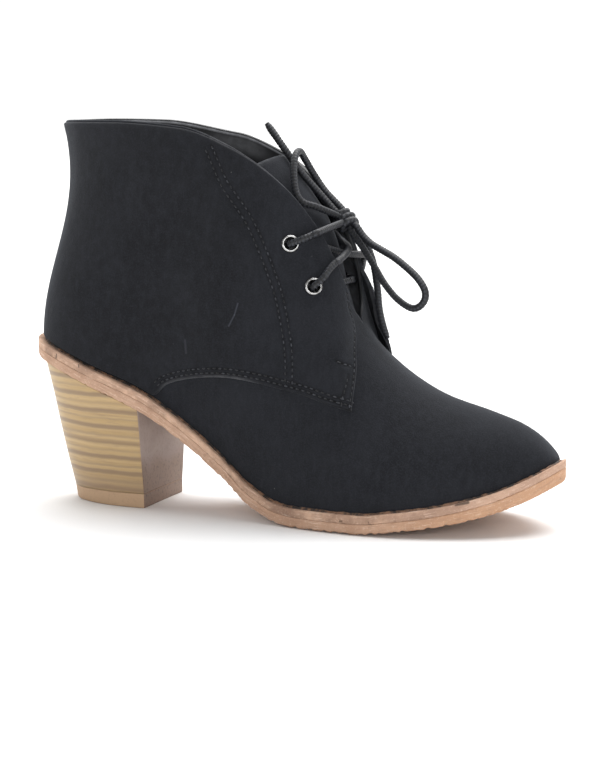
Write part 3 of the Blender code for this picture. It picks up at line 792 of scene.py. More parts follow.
def sole_material(name, light, dark, toe, mark_share):
    """Pale sole edge, mottled, scratched and chipped, with brown glue where its glue value says so."""
    surface = Surface(name)
    cloud = surface.noise(75, 5.0, 0.62)
    streaks = surface.noise(520, 4.0, 0.6, surface.along_edge(0.16))
    crumbs = surface.noise(1100, 3.0, 0.65)
    scratches = surface.noise(1300, 3.0, 0.6, surface.along_edge(0.09))
    base = surface.layers(light, [
        (cloud, 0.3, 0.7, 1.0, dark),
        (surface.place_part(0), *TOE_TURN, 0.7, toe),
        (streaks, 0.48, 0.72, 0.5, warm(0.34, 0.60, 0.41)),
        (scratches, 0.56, 0.72, 0.5, warm(0.33, 0.62, 0.44)),
        (scratches, 0.42, 0.30, 0.5, warm(0.80, 0.78, 0.63)),
        (crumbs, 0.52, 0.75, 0.4, warm(0.74, 0.78, 0.62)),
    ])
    where = surface.spread(surface.noise(28, 2.0), 0.46, 0.6)
    chips = surface.times(surface.spread(surface.noise(240, 4.0, 0.7), 0.62, 0.70), where)
    base = surface.tint(base, chips, mark_share, warm(0.13, 0.62, 0.42))
    ragged = surface.spread(surface.noise(420), 0.3, 0.7, -0.3, 0.3)
    glue = surface.spread(surface.math("ADD", surface.value("glue"), ragged), 0.42, 0.62)
    base = surface.mix(glue, base, warm(0.035, 0.55, 0.36))
    for start, end, width in SOLE_MARKS:
        base = surface.tint(base, surface.streak(start, end, width), 0.8, warm(0.04, 0.7, 0.55))
    rough = surface.bump(crumbs, 0.0005, 0.6)
    scored = surface.bump(scratches, 0.0004, 0.3, rough)
    return surface.finish(base, 0.82, surface.bump(streaks, 0.0005, 0.35, scored), 0.25)


def glue_material():
    surface = Surface("feather_glue")
    patches = surface.noise(230, 4.0, 0.6)
    base = surface.layer(warm(0.018, 0.75, 0.6), patches, 0.40, 0.62, 1.0, warm(0.21, 0.53, 0.31))
    return surface.finish(base, 0.6, surface.bump(patches, 0.0006, 0.5))


def heel_material():
    """Stacked layers: soft uneven bands by height, with fine grain along them."""
    surface = Surface("stacked_heel")
    wobble = surface.spread(surface.noise(34), 0.2, 0.8, -HEEL_WOBBLE, HEEL_WOBBLE)
    height = surface.math("ADD", surface.place_part(2), wobble)
    inputs = {"W": height, "Scale": 420, "Detail": 3.0}
    bands = surface.add("ShaderNodeTexNoise", inputs, noise_dimensions="1D").outputs["Fac"]
    turn = surface.times(height, 2 * math.pi / HEEL_LAYER)
    lines = surface.times(surface.math("SINE", surface.math("ADD", turn, HEEL_PHASE)), 0.65)
    between = surface.times(surface.math("SINE", surface.times(turn, 2.0)), 0.85)
    uneven = surface.math("ADD", lines, between)
    uneven = surface.math("ADD", uneven, surface.spread(bands, 0.2, 0.8, -0.7, 0.7))
    grain = surface.noise(420, 4.0, 0.6, surface.stretch((0.12, 0.12, 1.6)))
    fine = surface.noise(1400, 3.0, 0.6, surface.stretch((0.08, 0.08, 1.0)))
    base = surface.layers(warm(0.44, 0.68, 0.31), [
        (bands, 0.3, 0.7, 1.0, warm(0.52, 0.71, 0.36)),
        (uneven, -0.9, 1.5, 0.80, warm(0.23, 0.66, 0.41)),
        (grain, 0.5, 0.78, 0.4, warm(0.25, 0.69, 0.46)),
        (fine, 0.52, 0.72, 0.3, warm(0.26, 0.68, 0.44)),
        (surface.place_part(2), *HEEL_FOOT, 0.55, warm(0.31, 0.68, 0.44)),
    ])
    normal = surface.bump(grain, 0.0003, 0.25, surface.bump(uneven, 0.0002, 0.2))
    return surface.finish(base, surface.spread(grain, 0.3, 0.8, 0.36, 0.5), normal, 0.4)


def plain_heel_material(name, colour, dark, low, fleck_share):
    """Unlayered face of the heel, with another colour and more flecks towards the floor."""
    surface = Surface(name)
    cloud = surface.noise(55, 4.0, 0.6)
    fleck = surface.noise(700, 3.0, 0.6)
    base = surface.layer(colour, cloud, 0.3, 0.7, 1.0, dark)
    wobble = surface.spread(cloud, 0.2, 0.8, -PLAIN_FOOT_WOBBLE, PLAIN_FOOT_WOBBLE)
    foot = surface.spread(surface.math("ADD", surface.place_part(2), wobble), *PLAIN_FOOT)
    base = surface.mix(foot, base, low)
    flecks = surface.times(surface.spread(fleck, 0.5, 0.75), surface.spread(foot, 0.0, 1.0, 0.3, 1.0))
    base = surface.tint(base, flecks, fleck_share, warm(0.12, 0.78, 0.64))
    return surface.finish(base, 0.6, surface.bump(fleck, 0.0003, 0.35), 0.3)


NUBUCK = nubuck_material()
LINING = lining_material()
THREAD = thread_material()
NICKEL = nickel_material()
LACE = lace_material()
WELT_EDGE = sole_material("welt_edge", warm(0.66, 0.66, 0.47), warm(0.28, 0.62, 0.44),
                          warm(0.49, 0.65, 0.48), 1.0)
SOLE_EDGE = sole_material("sole_edge", warm(0.55, 0.65, 0.46), warm(0.44, 0.61, 0.41),
                          warm(0.52, 0.56, 0.32), 0.3)
GLUE = glue_material()
HEEL_STACK = heel_material()
HEEL_BREAST = plain_heel_material("heel_breast", warm(0.38, 0.82, 0.74), warm(0.31, 0.80, 0.71),
                                  warm(0.26, 0.72, 0.57), 0.7)
TOP_LIFT = plain_heel_material("heel_top_lift", warm(0.50, 0.68, 0.43), warm(0.43, 0.67, 0.42),
                               warm(0.50, 0.68, 0.43), 0.15)


# Sole

SOLE_STATIONS = 560
# Edge of a sole layer from below to above: distance inwards, share of the thickness
WELT_PROFILE = [(0.0060, 0.0), (0.00026, 0.0), (0.00008, 0.03), (0.0, 0.12), (0.0, 0.5), (0.0, 0.78),
                (0.00015, 0.92), (0.0006, 1.0), (0.0016, 1.0), (0.0030, 1.0), (0.0080, 1.0)]
SOLE_PROFILE = [(0.0060, 0.0), (0.0012, 0.0), (0.0005, 0.05), (0.00015, 0.15), (0.0, 0.32), (0.0, 0.55),
                (0.0, 0.90), (0.00008, 0.97), (0.00026, 1.0), (0.0080, 1.0)]
# Crumbs along a layer's lower edge: depths, stations that one spans, share of the thickness, ease at the tips
SOLE_CRUMBS = 0.00055
WELT_CRUMBS = 0.00015
CRUMB_SPAN = 3
CRUMB_REACH = 0.4
TIP_EASE = 14
# Distance from the upper over which the welt's top is stained with glue
GLUE_REACH = 0.0016
# Bead of glue round the upper's foot
GLUE_STATIONS = 900
GLUE_SIDES = 8
GLUE_RADIUS = 0.00055
GLUE_SWELL = 0.0004
GLUE_SPAN = 9
GLUE_SHIFT = 0.0001
# Wearing layer under the heel, from below: distance inwards, height
LIFT_PROFILE = [(0.0026, 0.0), (0.0014, 0.0), (0.0010, 0.0005), (0.0006, 0.0030), (0.0001, 0.0060),
                (0.0, TOP_LIFT_HEIGHT)]
# The layer's taper ends where its edge looks this far towards the toe
LIFT_TAPER_END = 0.6
# Faces of the heel that look this much towards the toe, and not up or down, are its breast
BREAST_FORWARD = 0.8
BREAST_UPWARD = 0.5
HEEL_CURVE_POINTS = 400
HEEL_BREAST_POINTS = 120
HEEL_SPACING = 0.00055
HEEL_CORNER_PASSES = 3
HEEL_ROWS = 60
HEEL_SEAT = TOP_LIFT_HEIGHT + GAP * 0.4
INSOLE_BOWL = 0.0006
INSOLE_STATIONS = 181
INSOLE_COLUMNS = 25


def ragged_line(random, count, width, amount):
    """Seeded uneven values along an edge, softened over a number of points."""
    kernel = np.hanning(width + 2)[1:-1]
    values = np.convolve(random.standard_normal(count + width), kernel, mode="same")[:count]
    return amount * np.tanh(values / values.std())


def sole_layer(name, low, high, profile, ragged, material):
    """Layer of the sole between two heights, with a crumbly lower edge."""
    angles = np.linspace(0, 180, SOLE_STATIONS + 1)
    ends = np.clip(np.sin(np.radians(angles)) * TIP_EASE, 0, 1)
    random = np.random.default_rng(SEED)
    loop = []
    for side in (-1, 1):
        ring_angles = angles if side < 0 else 360 - angles
        crumbs = ragged_line(random, len(angles), CRUMB_SPAN, ragged) * ends
        sections = []
        for inset, share in profile:
            crumbly = max(0.0, 1 - share / CRUMB_REACH)
            x, y = outline(ring_angles, inset + np.abs(crumbs) * crumbly)
            level = share * (high(x) - low(x))
            z = low(x) + level + np.maximum(crumbs, 0) * crumbly
            reach = inset if share == 1.0 else 0.0
            glue = np.clip(1 - (feather_inset(ring_angles) - reach) / GLUE_REACH, 0, 1)
            sections.append((np.stack([x, y, z], -1), glue, level))
        loop += sections[::-side]
    points, glue, level = (np.stack(column, 1) for column in zip(*loop))
    run = np.stack([path_lengths(line) for line in np.swapaxes(points, 0, 1)], 1)
    shape = Shape()
    shape.grid(points, wrap=True, glue=glue, run=run, level=level)
    finish_piece(shape.piece(name, [material], WELD), "sole_edge", name.replace("_edge", ""))


def heel_ring():
    """Plan points of the heel's top once round, evenly spaced, with the breast corners rounded."""
    angles = np.linspace(HEEL_BREAST_ANGLE, -HEEL_BREAST_ANGLE, HEEL_CURVE_POINTS)
    curve = np.stack(outline(angles, HEEL_INSET), -1)
    breast = np.linspace(curve[-1], curve[0], HEEL_BREAST_POINTS)[1:-1]
    ring = even_points(np.vstack([curve, breast, curve[:1]]), HEEL_SPACING)[:-1]
    for _ in range(HEEL_CORNER_PASSES):
        ring = (np.roll(ring, 1, axis=0) + 2 * ring + np.roll(ring, -1, axis=0)) / 4
    return ring


def heel_levels(ring, shares, heights):
    """Heel sections at shares of the height, tapered towards the breast line."""
    breast_x = ring[:, 0].max()
    length_scale = smooth(HEEL_TAPER, 1, shares)[:, None]
    width_scale = smooth(HEEL_TAPER, 2, shares)[:, None]
    x = breast_x + (ring[None, :, 0] - breast_x) * length_scale
    y = ring[None, :, 1] * width_scale
    return np.stack([x, y, heights], -1)


def heel_piece(name, levels, side_material, slot, node):
    """Closed piece through heel sections, with the breast's material on the faces towards the toe."""
    shape = Shape()
    shape.grid(levels, wrap=True)
    shape.cap(levels[0], True)
    shape.cap(levels[-1], False)
    item = shape.piece(name, [side_material, HEEL_BREAST], WELD)
    for face in item.data.polygons:
        if face.normal.x > BREAST_FORWARD and abs(face.normal.z) < BREAST_UPWARD:
            face.material_index = 1
    finish_piece(item, slot, node)


def build_heel():
    """Stacked block and the wearing layer under it."""
    ring = heel_ring()
    shares = np.linspace(0, 1, HEEL_ROWS)
    at_sole = heel_levels(ring, np.ones(1), np.zeros((1, len(ring))))[:, :, 0]
    block = heel_levels(ring, shares, HEEL_SEAT + shares[:, None] * (underside(at_sole) - HEEL_SEAT))
    heel_piece("heel_block_stack", block, HEEL_STACK, "stacked_heel", "heel_block")
    centre = ring.mean(axis=0)
    lift = []
    for inset, height in LIFT_PROFILE:
        section = heel_levels(ring, np.zeros(1), np.full((1, len(ring)), height))[0]
        outwards = unit(section[:, :2] - centre)
        backwards = np.clip(LIFT_TAPER_END - outwards[:, :1], 0, 1)
        section[:, :2] -= outwards * inset * backwards
        lift.append(section)
    heel_piece("heel_top_lift_layer", np.array(lift), TOP_LIFT, "top_lift", "heel_top_lift")


def build_insole():
    """Footbed, slightly hollow across."""
    angles = np.linspace(0, 180, INSOLE_STATIONS)
    across = np.linspace(-1, 1, INSOLE_COLUMNS)
    inset = feather_inset(angles) + UPPER_WALL + INSOLE_CLEARANCE
    x, outer = outline(angles, inset)
    inner = outline(360 - angles, inset)[1]
    y = ((outer + inner) / 2)[:, None] + ((inner - outer) / 2)[:, None] * across
    z = insole_top(x)[:, None] + INSOLE_BOWL * (across ** 2 - 1)
    top = np.stack([np.broadcast_to(x[:, None], y.shape), y, z], -1)
    low = top.copy()
    low[..., 2] = feather(x)[:, None]
    shape = Shape()
    shape.grid(top, flip=True)
    shape.grid(low)
    shape.grid(np.stack([top[:, 0], low[:, 0]], 1), flip=True)
    shape.grid(np.stack([top[:, -1], low[:, -1]], 1))
    finish_piece(shape.piece("insole_sock", [LINING], WELD), "lining", "insole")


def build_glue_line():
    """Brown glue along the line where the upper meets the welt."""
    angles = np.linspace(0, 360, GLUE_STATIONS, endpoint=False)
    random = np.random.default_rng(SEED)
    swell = GLUE_RADIUS + np.abs(ragged_line(random, len(angles), GLUE_SPAN, GLUE_SWELL))
    x, y = outline(angles, feather_inset(angles) - GLUE_SHIFT)
    centre = np.stack([x, y, midsole_top(x) + GLUE_SHIFT], -1)
    ahead = unit(np.roll(centre, -1, axis=0) - np.roll(centre, 1, axis=0))
    up = np.broadcast_to((0.0, 0.0, 1.0), centre.shape)
    points = tube(centre, unit(np.cross(ahead, up)), up, swell[:, None], GLUE_SIDES)
    shape = Shape()
    shape.grid(np.concatenate([points, points[:1]]), wrap=True)
    finish_piece(shape.piece("feather_glue", [GLUE], WELD), "sole_edge")


def build_sole():
    sole_layer("outsole_edge", underside, outsole_top, SOLE_PROFILE, SOLE_CRUMBS, SOLE_EDGE)
    sole_layer("midsole_edge", outsole_top, midsole_top, WELT_PROFILE, WELT_CRUMBS, WELT_EDGE)
    build_heel()
    build_insole()
    build_glue_line()


# Upper

VAMP_ANGLES = np.linspace(0, 180, 241)
VAMP_RISES = np.linspace(0, 1, 61)
LINING_RISES = np.concatenate([np.linspace(1, 0.96, 11), np.linspace(0.95, 0, 58)])
# The vamp runs down behind the welt by this much
FOOT_DROP = 0.0008
# Radii of the eyelet holes in each layer, and how far from the skin a hole reaches
VAMP_HOLE = 0.0030
LINING_HOLE = 0.0017
QUARTER_HOLE = 0.0031
HOLE_DEPTH = 0.008
# Fades that leave a patch without a start or an end
NO_START = (-2, -1)
NO_END = (1000, 999)
# Patches: amount, angles where it fades in and out, rises where it fades in and out
# Painted shade on strips of the vamp beside the throat, by side
THROAT_PAINTED_SHADE = {
    -1: (0.6, (102, 108), (126, 114), (0.84, 0.97), NO_END),
    1: (0.8, (96, 99), (120, 110), (0.62, 0.72), NO_END),
}
# Painted light on the inner side's lining: a broad painted highlight below the collar, painted light inside
# the throat and a painted highlight line along the top edge
LINING_PAINTED_LIGHT = [
    (0.12, (50, 58), (70, 64), (0.91, 0.95), (1.0, 0.98)),
    (0.30, (88, 93), NO_END, (0.5, 0.6), NO_END),
    (0.85, (20, 30), (96, 84), (0.989, 0.995), (1.0, 0.996)),
]
# Padding of the collar, the quarters' low edge paler where rubbed and with a painted highlight, painted
# shadow along its front part, and painted shade on their rear
COLLAR_PADDING = (0.0022, NO_START, (86, 74), (0.80, 0.91), (1.0, 0.93))
LOW_EDGE_RUB_AND_HIGHLIGHT = (0.62, (62, 67), (89, 82), NO_START, NO_END)
LOW_EDGE_PAINTED_SHADOW = (1.0, (83, 90), NO_END, NO_START, NO_END)
REAR_PAINTED_SHADE = (0.30, NO_START, (84, 74), NO_START, NO_END)
# Painted highlight along the collar's roll: amount and angles where it fades in, by side, and angles where it
# fades out
COLLAR_HIGHLIGHT = {-1: (0.4, (62, 70)), 1: (0.06, (20, 30))}
COLLAR_HIGHLIGHT_END = (96, 84)
# Painted highlight over the roll, from its hidden to its open face
COLLAR_HIGHLIGHT_ACROSS = (0.0, 0.0, 0.0, 0.1, 0.3, 0.6, 0.9, 1.0, 1.0)
ROLL_HEIGHT = 0.0007
ROLL_HEIGHT_ANGLES = (THROAT_BASE_ANGLE, 108)
ROLL_FILL_ANGLES = (106, 100)
BELOW_EDGE = 0.985
# Cut edges of the quarter, and extra shares of its grid beside them
QUARTER_ROUNDING = 0.0010
QUARTER_GRID = ((240, (0.0008, 0.0017, 0.0030)), (150, (0.0012, 0.0026, 0.0045)))
FURROW_DEPTH = 0.00030
FURROW_WIDTH = 0.00085
# Width of the painted shade along the stitch furrows
SEAM_PAINTED_SHADE_WIDTH = 0.00065
LOW_PAINTED_SHADOW_WIDTH = 0.0005
LOW_RUB_AND_HIGHLIGHT_LEAST = 0.04
LOW_RUB_AND_HIGHLIGHT_WIDTH = 0.0013
EDGE_RUB = 0.3
EDGE_RUB_WIDTH = 0.0007
# The underside of the quarter's front shows from this share of its length on
LOOSE_FROM = 0.88
# Painted light on that underside
LOOSE_PAINTED_LIGHT = 0.16
# Stitch rows along the low edge, and along the front edge: distance, first and last share, points
LOW_SEAM_ANGLES = np.linspace(64.5, 111.6, 160)
FRONT_SEAMS = [(FRONT_ROWS[0], 0.02, 0.985, 140), (FRONT_ROWS[1], 0.04, 0.33, 60)]
STAY_SEAM_STEP = 0.25
TACK_STEP = 0.2
# One stitch along its length: share, width, depth
STITCH_PROFILE = np.array([
    (-0.5, 0.15, 0.00045),
    (-0.42, 0.75, 0.00022),
    (-0.2, 1.0, 0.00006),
    (0.0, 1.05, 0.0),
    (0.2, 1.0, 0.00006),
    (0.42, 0.75, 0.00022),
    (0.5, 0.15, 0.00045),
])
STITCH_SIDES = 6
STITCH_SINK = 0.00012
TONGUE_GRID = (90, 61)
TONGUE_ROUNDING = 0.0009
# Painted light on the tongue: all over, and more lower down between two rows of its table; wear at its top
# edge over a width
TONGUE_PAINTED_LIGHT = 0.02
TONGUE_LOW_PAINTED_LIGHT = (0.10, 2.5, 4.0)
TONGUE_TOP_WEAR = (0.4, 0.0008)


def patch(angle, rise, amount, angles_in, angles_out, rises_in, rises_out):
    """Value of a patch that fades in and out by angle and by rise."""
    by_angle = fade(angle, *angles_in) * fade(angle, *angles_out)
    return amount * by_angle * fade(rise, *rises_in) * fade(rise, *rises_out)


def bell(distance, width):
    """Smooth hump, 1 at no distance."""
    return np.exp(-(distance / width) ** 2)


def eyelet_place(level, side):
    """Point on the outer face and outward direction of an eyelet."""
    angle, rise = EYELETS[level]
    return skin(angle, rise, side), skin_normal(angle, rise, side)


def clear_of_eyelets(side, radius):
    """Test that leaves out faces inside an eyelet's hole."""
    places = [eyelet_place(level, side) for level in EYELETS]

    def keep(centres):
        wanted = np.ones(len(centres), bool)
        for point, normal in places:
            away = centres - point
            depth = away @ normal
            flat = np.linalg.norm(away - depth[:, None] * normal, axis=1)
            wanted &= (flat > radius) | (np.abs(depth) > HOLE_DEPTH)
        return wanted

    return keep


def build_vamp():
    """Vamp wall, the lining inside it, and a rolled edge at the collar."""
    angle, rise = np.meshgrid(VAMP_ANGLES, VAMP_RISES, indexing="ij")
    lining = np.meshgrid(VAMP_ANGLES, LINING_RISES, indexing="ij")
    edge_angles = VAMP_ANGLES[VAMP_ANGLES <= THROAT_BASE_ANGLE]
    padding = patch(*lining, *COLLAR_PADDING)
    shape = Shape()
    for side in (-1, 1):
        outer = skin(angle, rise, side)
        foot = outer[:, :1].copy()
        foot[..., 2] -= FOOT_DROP
        # Painted shade on the vamp beside the throat
        throat_painted_shade = patch(angle, rise, *THROAT_PAINTED_SHADE[side])
        throat_painted_shade = np.concatenate([throat_painted_shade[:, :1], throat_painted_shade], 1)
        shape.grid(np.concatenate([foot, outer], 1), flip=side > 0, keep=clear_of_eyelets(side, VAMP_HOLE),
                   furrow=throat_painted_shade)
        inner = above_skin(*lining, side, -UPPER_WALL - padding)
        # Painted light and painted highlights on the inner side's lining
        wear = np.max([patch(*lining, *row) for row in LINING_PAINTED_LIGHT], axis=0) * (side > 0)
        shape.grid(inner, flip=side > 0, slot=1, keep=clear_of_eyelets(side, LINING_HOLE), wear=wear)
        # Painted highlight along the collar's roll
        amount, start = COLLAR_HIGHLIGHT[side]
        collar_highlight = amount * fade(edge_angles, *start) * fade(edge_angles, *COLLAR_HIGHLIGHT_END)
        shape.grid(collar_roll(edge_angles, side), flip=side > 0, slot=int(side > 0),
                   wear=np.outer(collar_highlight, COLLAR_HIGHLIGHT_ACROSS[::side]))
    finish_piece(shape.piece("vamp_and_lining", [NUBUCK, LINING], VAMP_WELD), "nubuck", "upper")


def collar_roll(angles, side):
    """Half-round roll on the top edge, from the outer face over to the lining."""
    ones = np.ones(len(angles))
    top = skin(angles, ones, side)
    normal = skin_normal(angles, ones, side)
    up = unit(top - skin(angles, BELOW_EDGE * ones, side))
    fill = QUARTER_GAP * fade(angles, *ROLL_FILL_ANGLES)
    middle = (fill - UPPER_WALL) / 2
    half = (fill + UPPER_WALL) / 2
    lift = ROLL_HEIGHT * fade(angles, *ROLL_HEIGHT_ANGLES)
    rows = []
    for turn in np.linspace(0, math.pi, len(COLLAR_HIGHLIGHT_ACROSS)):
        out = (middle + half * math.cos(turn))[:, None] * normal
        rows.append(top + out + (lift * math.sin(turn))[:, None] * up)
    return np.stack(rows, 1)


def offset_on_skin(angles, rises, side, distance):
    """Places moved sideways over the skin, to the left of the way along them."""
    run = unit(np.gradient(skin(angles, rises, side), axis=0))
    step = np.cross(skin_normal(angles, rises, side), run) * distance * -side
    along, up = skin_slopes(angles, rises, side)
    aa = (along * along).sum(1)
    bb = (up * up).sum(1)
    ab = (along * up).sum(1)
    sa = (step * along).sum(1)
    sb = (step * up).sum(1)
    det = aa * bb - ab * ab
    return angles + (sa * bb - sb * ab) / det, rises + (sb * aa - sa * ab) / det


def front_edge(shares):
    """Places along the facing edge of a quarter."""
    angles = smooth(QUARTER_FRONT_EDGE, 1, shares)
    low = smooth(QUARTER_LOW_EDGE, 1, angles)
    return angles, low + (1 - low) * shares


def seam_places(side):
    """Stitch rows on a quarter, each as angles and rises."""
    stay = spline_points(STAY_SEAM, STAY_SEAM_STEP).T
    low = (LOW_SEAM_ANGLES, smooth(QUARTER_LOW_EDGE, 1, LOW_SEAM_ANGLES))
    rows = [offset_on_skin(*stay, side, shift * STAY_ROW_SPACING) for shift in (-0.5, 0.5)]
    rows += [offset_on_skin(*low, side, distance) for distance in LOW_ROWS]
    for distance, first, last, count in FRONT_SEAMS:
        rows.append(offset_on_skin(*front_edge(np.linspace(first, last, count)), side, distance))
    rows.append(tuple(spline_points(BAR_TACK, TACK_STEP).T))
    return rows


def distances_along(points, axis):
    """Distance along each row of a grid from its first point."""
    steps = np.linalg.norm(np.diff(points, axis=axis), axis=-1)
    return np.concatenate([np.zeros_like(np.take(steps, [0], axis)), np.cumsum(steps, axis=axis)], axis)


def nearest_distances(points, targets):
    """Distance from each point of a grid to the nearest target."""
    tree = KDTree(len(targets))
    for i, target in enumerate(targets):
        tree.insert(target, i)
    tree.balance()
    return np.array([tree.find(point)[2] for point in points.reshape(-1, 3)]).reshape(points.shape[:2])


def build_quarter(name, node, side):
    """Quarter with rounded cut edges and furrows along its stitch rows, and the underside of its front."""
    alongs, shares = (edge_fine(*grid) for grid in QUARTER_GRID)
    along, share = np.meshgrid(alongs, shares, indexing="ij")
    angle = QUARTER_BACK_ANGLE + (smooth(QUARTER_FRONT_EDGE, 1, share) - QUARTER_BACK_ANGLE) * along
    low = smooth(QUARTER_LOW_EDGE, 1, angle)
    rise = low + (1 - low) * share
    base = skin(angle, rise, side)
    from_low = distances_along(base, 1)
    from_top = from_low[:, -1:] - from_low
    from_back = distances_along(base, 0)
    from_front = from_back[-1:] - from_back
    edge = np.minimum(np.minimum(from_low, from_top), np.minimum(from_front, from_back))
    short = 1 - np.clip(edge / QUARTER_ROUNDING, 0, 1)
    rows = seam_places(side)
    from_seam = nearest_distances(base, np.vstack([skin(*places, side) for places in rows]))
    lift = facing_lift(angle, rise, side)
    height = QUARTER_GAP * (edge > 0) + QUARTER_THICKNESS * np.sqrt(np.clip(1 - short * short, 0, 1))
    height += lift - FURROW_DEPTH * bell(from_seam, FURROW_WIDTH)
    # Low edge paler where rubbed and with a painted highlight; top and front edges paler where rubbed
    low_rub_and_highlight = (LOW_RUB_AND_HIGHLIGHT_LEAST + patch(angle, rise, *LOW_EDGE_RUB_AND_HIGHLIGHT)) * bell(from_low, LOW_RUB_AND_HIGHLIGHT_WIDTH)
    wear = low_rub_and_highlight + EDGE_RUB * np.exp(-np.minimum(from_top, from_front) / EDGE_RUB_WIDTH)
    # Painted shadow under the low edge's front part, painted shade in the stitch furrows and on the rear
    low_painted_shadow = bell(from_low, LOW_PAINTED_SHADOW_WIDTH) * patch(angle, rise, *LOW_EDGE_PAINTED_SHADOW)
    furrow = np.maximum(bell(from_seam, SEAM_PAINTED_SHADE_WIDTH), low_painted_shadow)
    furrow = np.maximum(furrow, patch(angle, rise, *REAR_PAINTED_SHADE))
    normal = skin_normal(angle, rise, side)
    keep = clear_of_eyelets(side, QUARTER_HOLE)
    shape = Shape()
    shape.grid(base + height[..., None] * normal, flip=side > 0, keep=keep, wear=wear, furrow=furrow)
    # The underside of the front gets painted light
    under = (base + (QUARTER_GAP + lift)[..., None] * normal)[alongs > LOOSE_FROM]
    shape.grid(under, flip=side < 0, keep=keep, wear=np.full(under.shape[:2], LOOSE_PAINTED_LIGHT))
    finish_piece(shape.piece(name, [NUBUCK]), "nubuck", node)
    build_stitches(f"stitches_{node}", rows, side)


def build_stitches(name, rows, side):
    """Short threads along the stitch rows, each sunk at its ends."""
    shape = Shape()
    shares, widths, sinks = STITCH_PROFILE.T
    for angles, rises in rows:
        places = even_points(np.column_stack([skin(angles, rises, side), angles, rises]), STITCH_PITCH / 12)
        lengths = path_lengths(places[:, :3])
        normal = skin_normal(places[:, 3], places[:, 4], side)
        lifts = facing_lift(places[:, 3], places[:, 4], side)
        for centre in np.arange(STITCH_PITCH / 2, lengths[-1], STITCH_PITCH):
            at = np.clip(centre + shares * STITCH_LENGTH, 0, lengths[-1])
            line = np.stack([np.interp(at, lengths, places[:, axis]) for axis in range(3)], -1)
            out = np.stack([np.interp(at, lengths, normal[:, axis]) for axis in range(3)], -1)
            across = np.cross(out, unit(line[-1] - line[0]))
            height = EYELET_SEAT - STITCH_SINK - sinks + np.interp(at, lengths, lifts)
            radius = (STITCH_RADIUS * widths)[:, None]
            shape.grid(tube(line + height[:, None] * out, across, out, radius, STITCH_SIDES), wrap=True)
    finish_piece(shape.piece(name, [THREAD]), "nubuck")


def build_tongue():
    """Arched tongue with rounded edges, its lower end under the vamp."""
    rows = [(i, *row) for i, row in enumerate(TONGUE_ROWS)]
    along = np.linspace(0, len(rows) - 1, TONGUE_GRID[0])
    across = np.linspace(-1, 1, TONGUE_GRID[1])
    x, z, half_width, arch = (smooth(rows, column, along) for column in (1, 2, 3, 4))
    run = unit(np.stack([np.gradient(x), np.gradient(z)], -1))
    into = np.stack([run[:, 1], np.zeros(len(x)), -run[:, 0]], -1)[:, None, :]
    line = np.stack([x, np.zeros(len(x)), z], -1)[:, None, :]
    front = line + into * (arch[:, None] * across ** 2)[..., None]
    front[..., 1] = half_width[:, None] * across
    from_top = path_lengths(np.stack([x, z], -1))[:, None]
    from_side = half_width[:, None] * (1 - np.abs(across))
    short = 1 - np.clip(np.minimum(from_top, from_side) / TONGUE_ROUNDING, 0, 1)
    rounding = TONGUE_THICKNESS / 2 * (1 - np.sqrt(np.clip(1 - short * short, 0, 1)))[..., None]
    low_amount, low_start, low_full = TONGUE_LOW_PAINTED_LIGHT
    top_amount, top_width = TONGUE_TOP_WEAR
    # Painted light on the tongue, more lower down; worn at its top edge
    wear = TONGUE_PAINTED_LIGHT + low_amount * fade(along, low_start, low_full)[:, None]
    wear = wear + top_amount * np.exp(-from_top / top_width)
    shape = Shape()
    shape.grid(front + into * rounding, wear=np.broadcast_to(wear, from_side.shape))
    shape.grid(front + into * (TONGUE_THICKNESS - rounding), flip=True, slot=1)
    finish_piece(shape.piece("tongue_flap", [NUBUCK, LINING], WELD), "nubuck", "tongue")


# Eyelets

# Section of an eyelet from the inside out: radius, height over the quarter
EYELET_PROFILE = np.array([
    (0.00255, -0.0010), (0.00255, 0.0002), (0.0026, 0.0007), (0.0028, 0.00105), (0.0031, 0.0012),
    (0.0035, 0.0010), (0.0038, 0.0006), (0.0039, 0.0003), (0.0039, 0.0), (0.0030, -0.0001),
    (0.0029, -0.0010),
])
EYELET_SIDES = 48


def build_eyelets():
    """Ring of each eyelet."""
    for side, side_name in ((-1, "outer"), (1, "inner")):
        for level in EYELETS:
            point, normal = eyelet_place(level, side)
            centre = point + (EYELET_SEAT + EYELET_PROFILE[:, 1:]) * normal
            first = unit(np.cross(normal, (0, 0, 1.0)))
            first, second = (np.broadcast_to(way, centre.shape) for way in (first, np.cross(normal, first)))
            shape = Shape()
            shape.grid(tube(centre, first, second, EYELET_PROFILE[:, :1], EYELET_SIDES), wrap=True, flip=True)
            node = f"eyelet_{side_name}_{level}"
            finish_piece(shape.piece(f"{node}_ring", [NICKEL]), "nickel", node)


# Lace

LACE_SPACING = 0.00036
LACE_SIDES = 14
BRAID_PITCH = 0.0030
# Radius of the braid as shares of the lace's radius: at its mean, and its swing
BRAID_RADIUS = (0.955, 0.10)
# Narrowing of a bare end, and the length over which it narrows
TIP_NARROWING = 0.35
TIP_LENGTH = 0.004
# A direction that no lace starts along
LACE_ASIDE = (0.3, 0.5, 0.8)
# Heights at which the lace passes its lower and upper eyelets
LOW_PASS = (-0.0016, 0.0016)
HIGH_PASS = (-0.0016, 0.0018)
CROSSING_WAY = (0.7, 0.0, 0.7)
# Halves of the lace: piece, node, side, lift at the crossing
LACE_RUNS = [("lace_run_outer", "lace_bar", -1, 0.0013), ("lace_run_inner", "lace_cross", 1, -0.0013)]
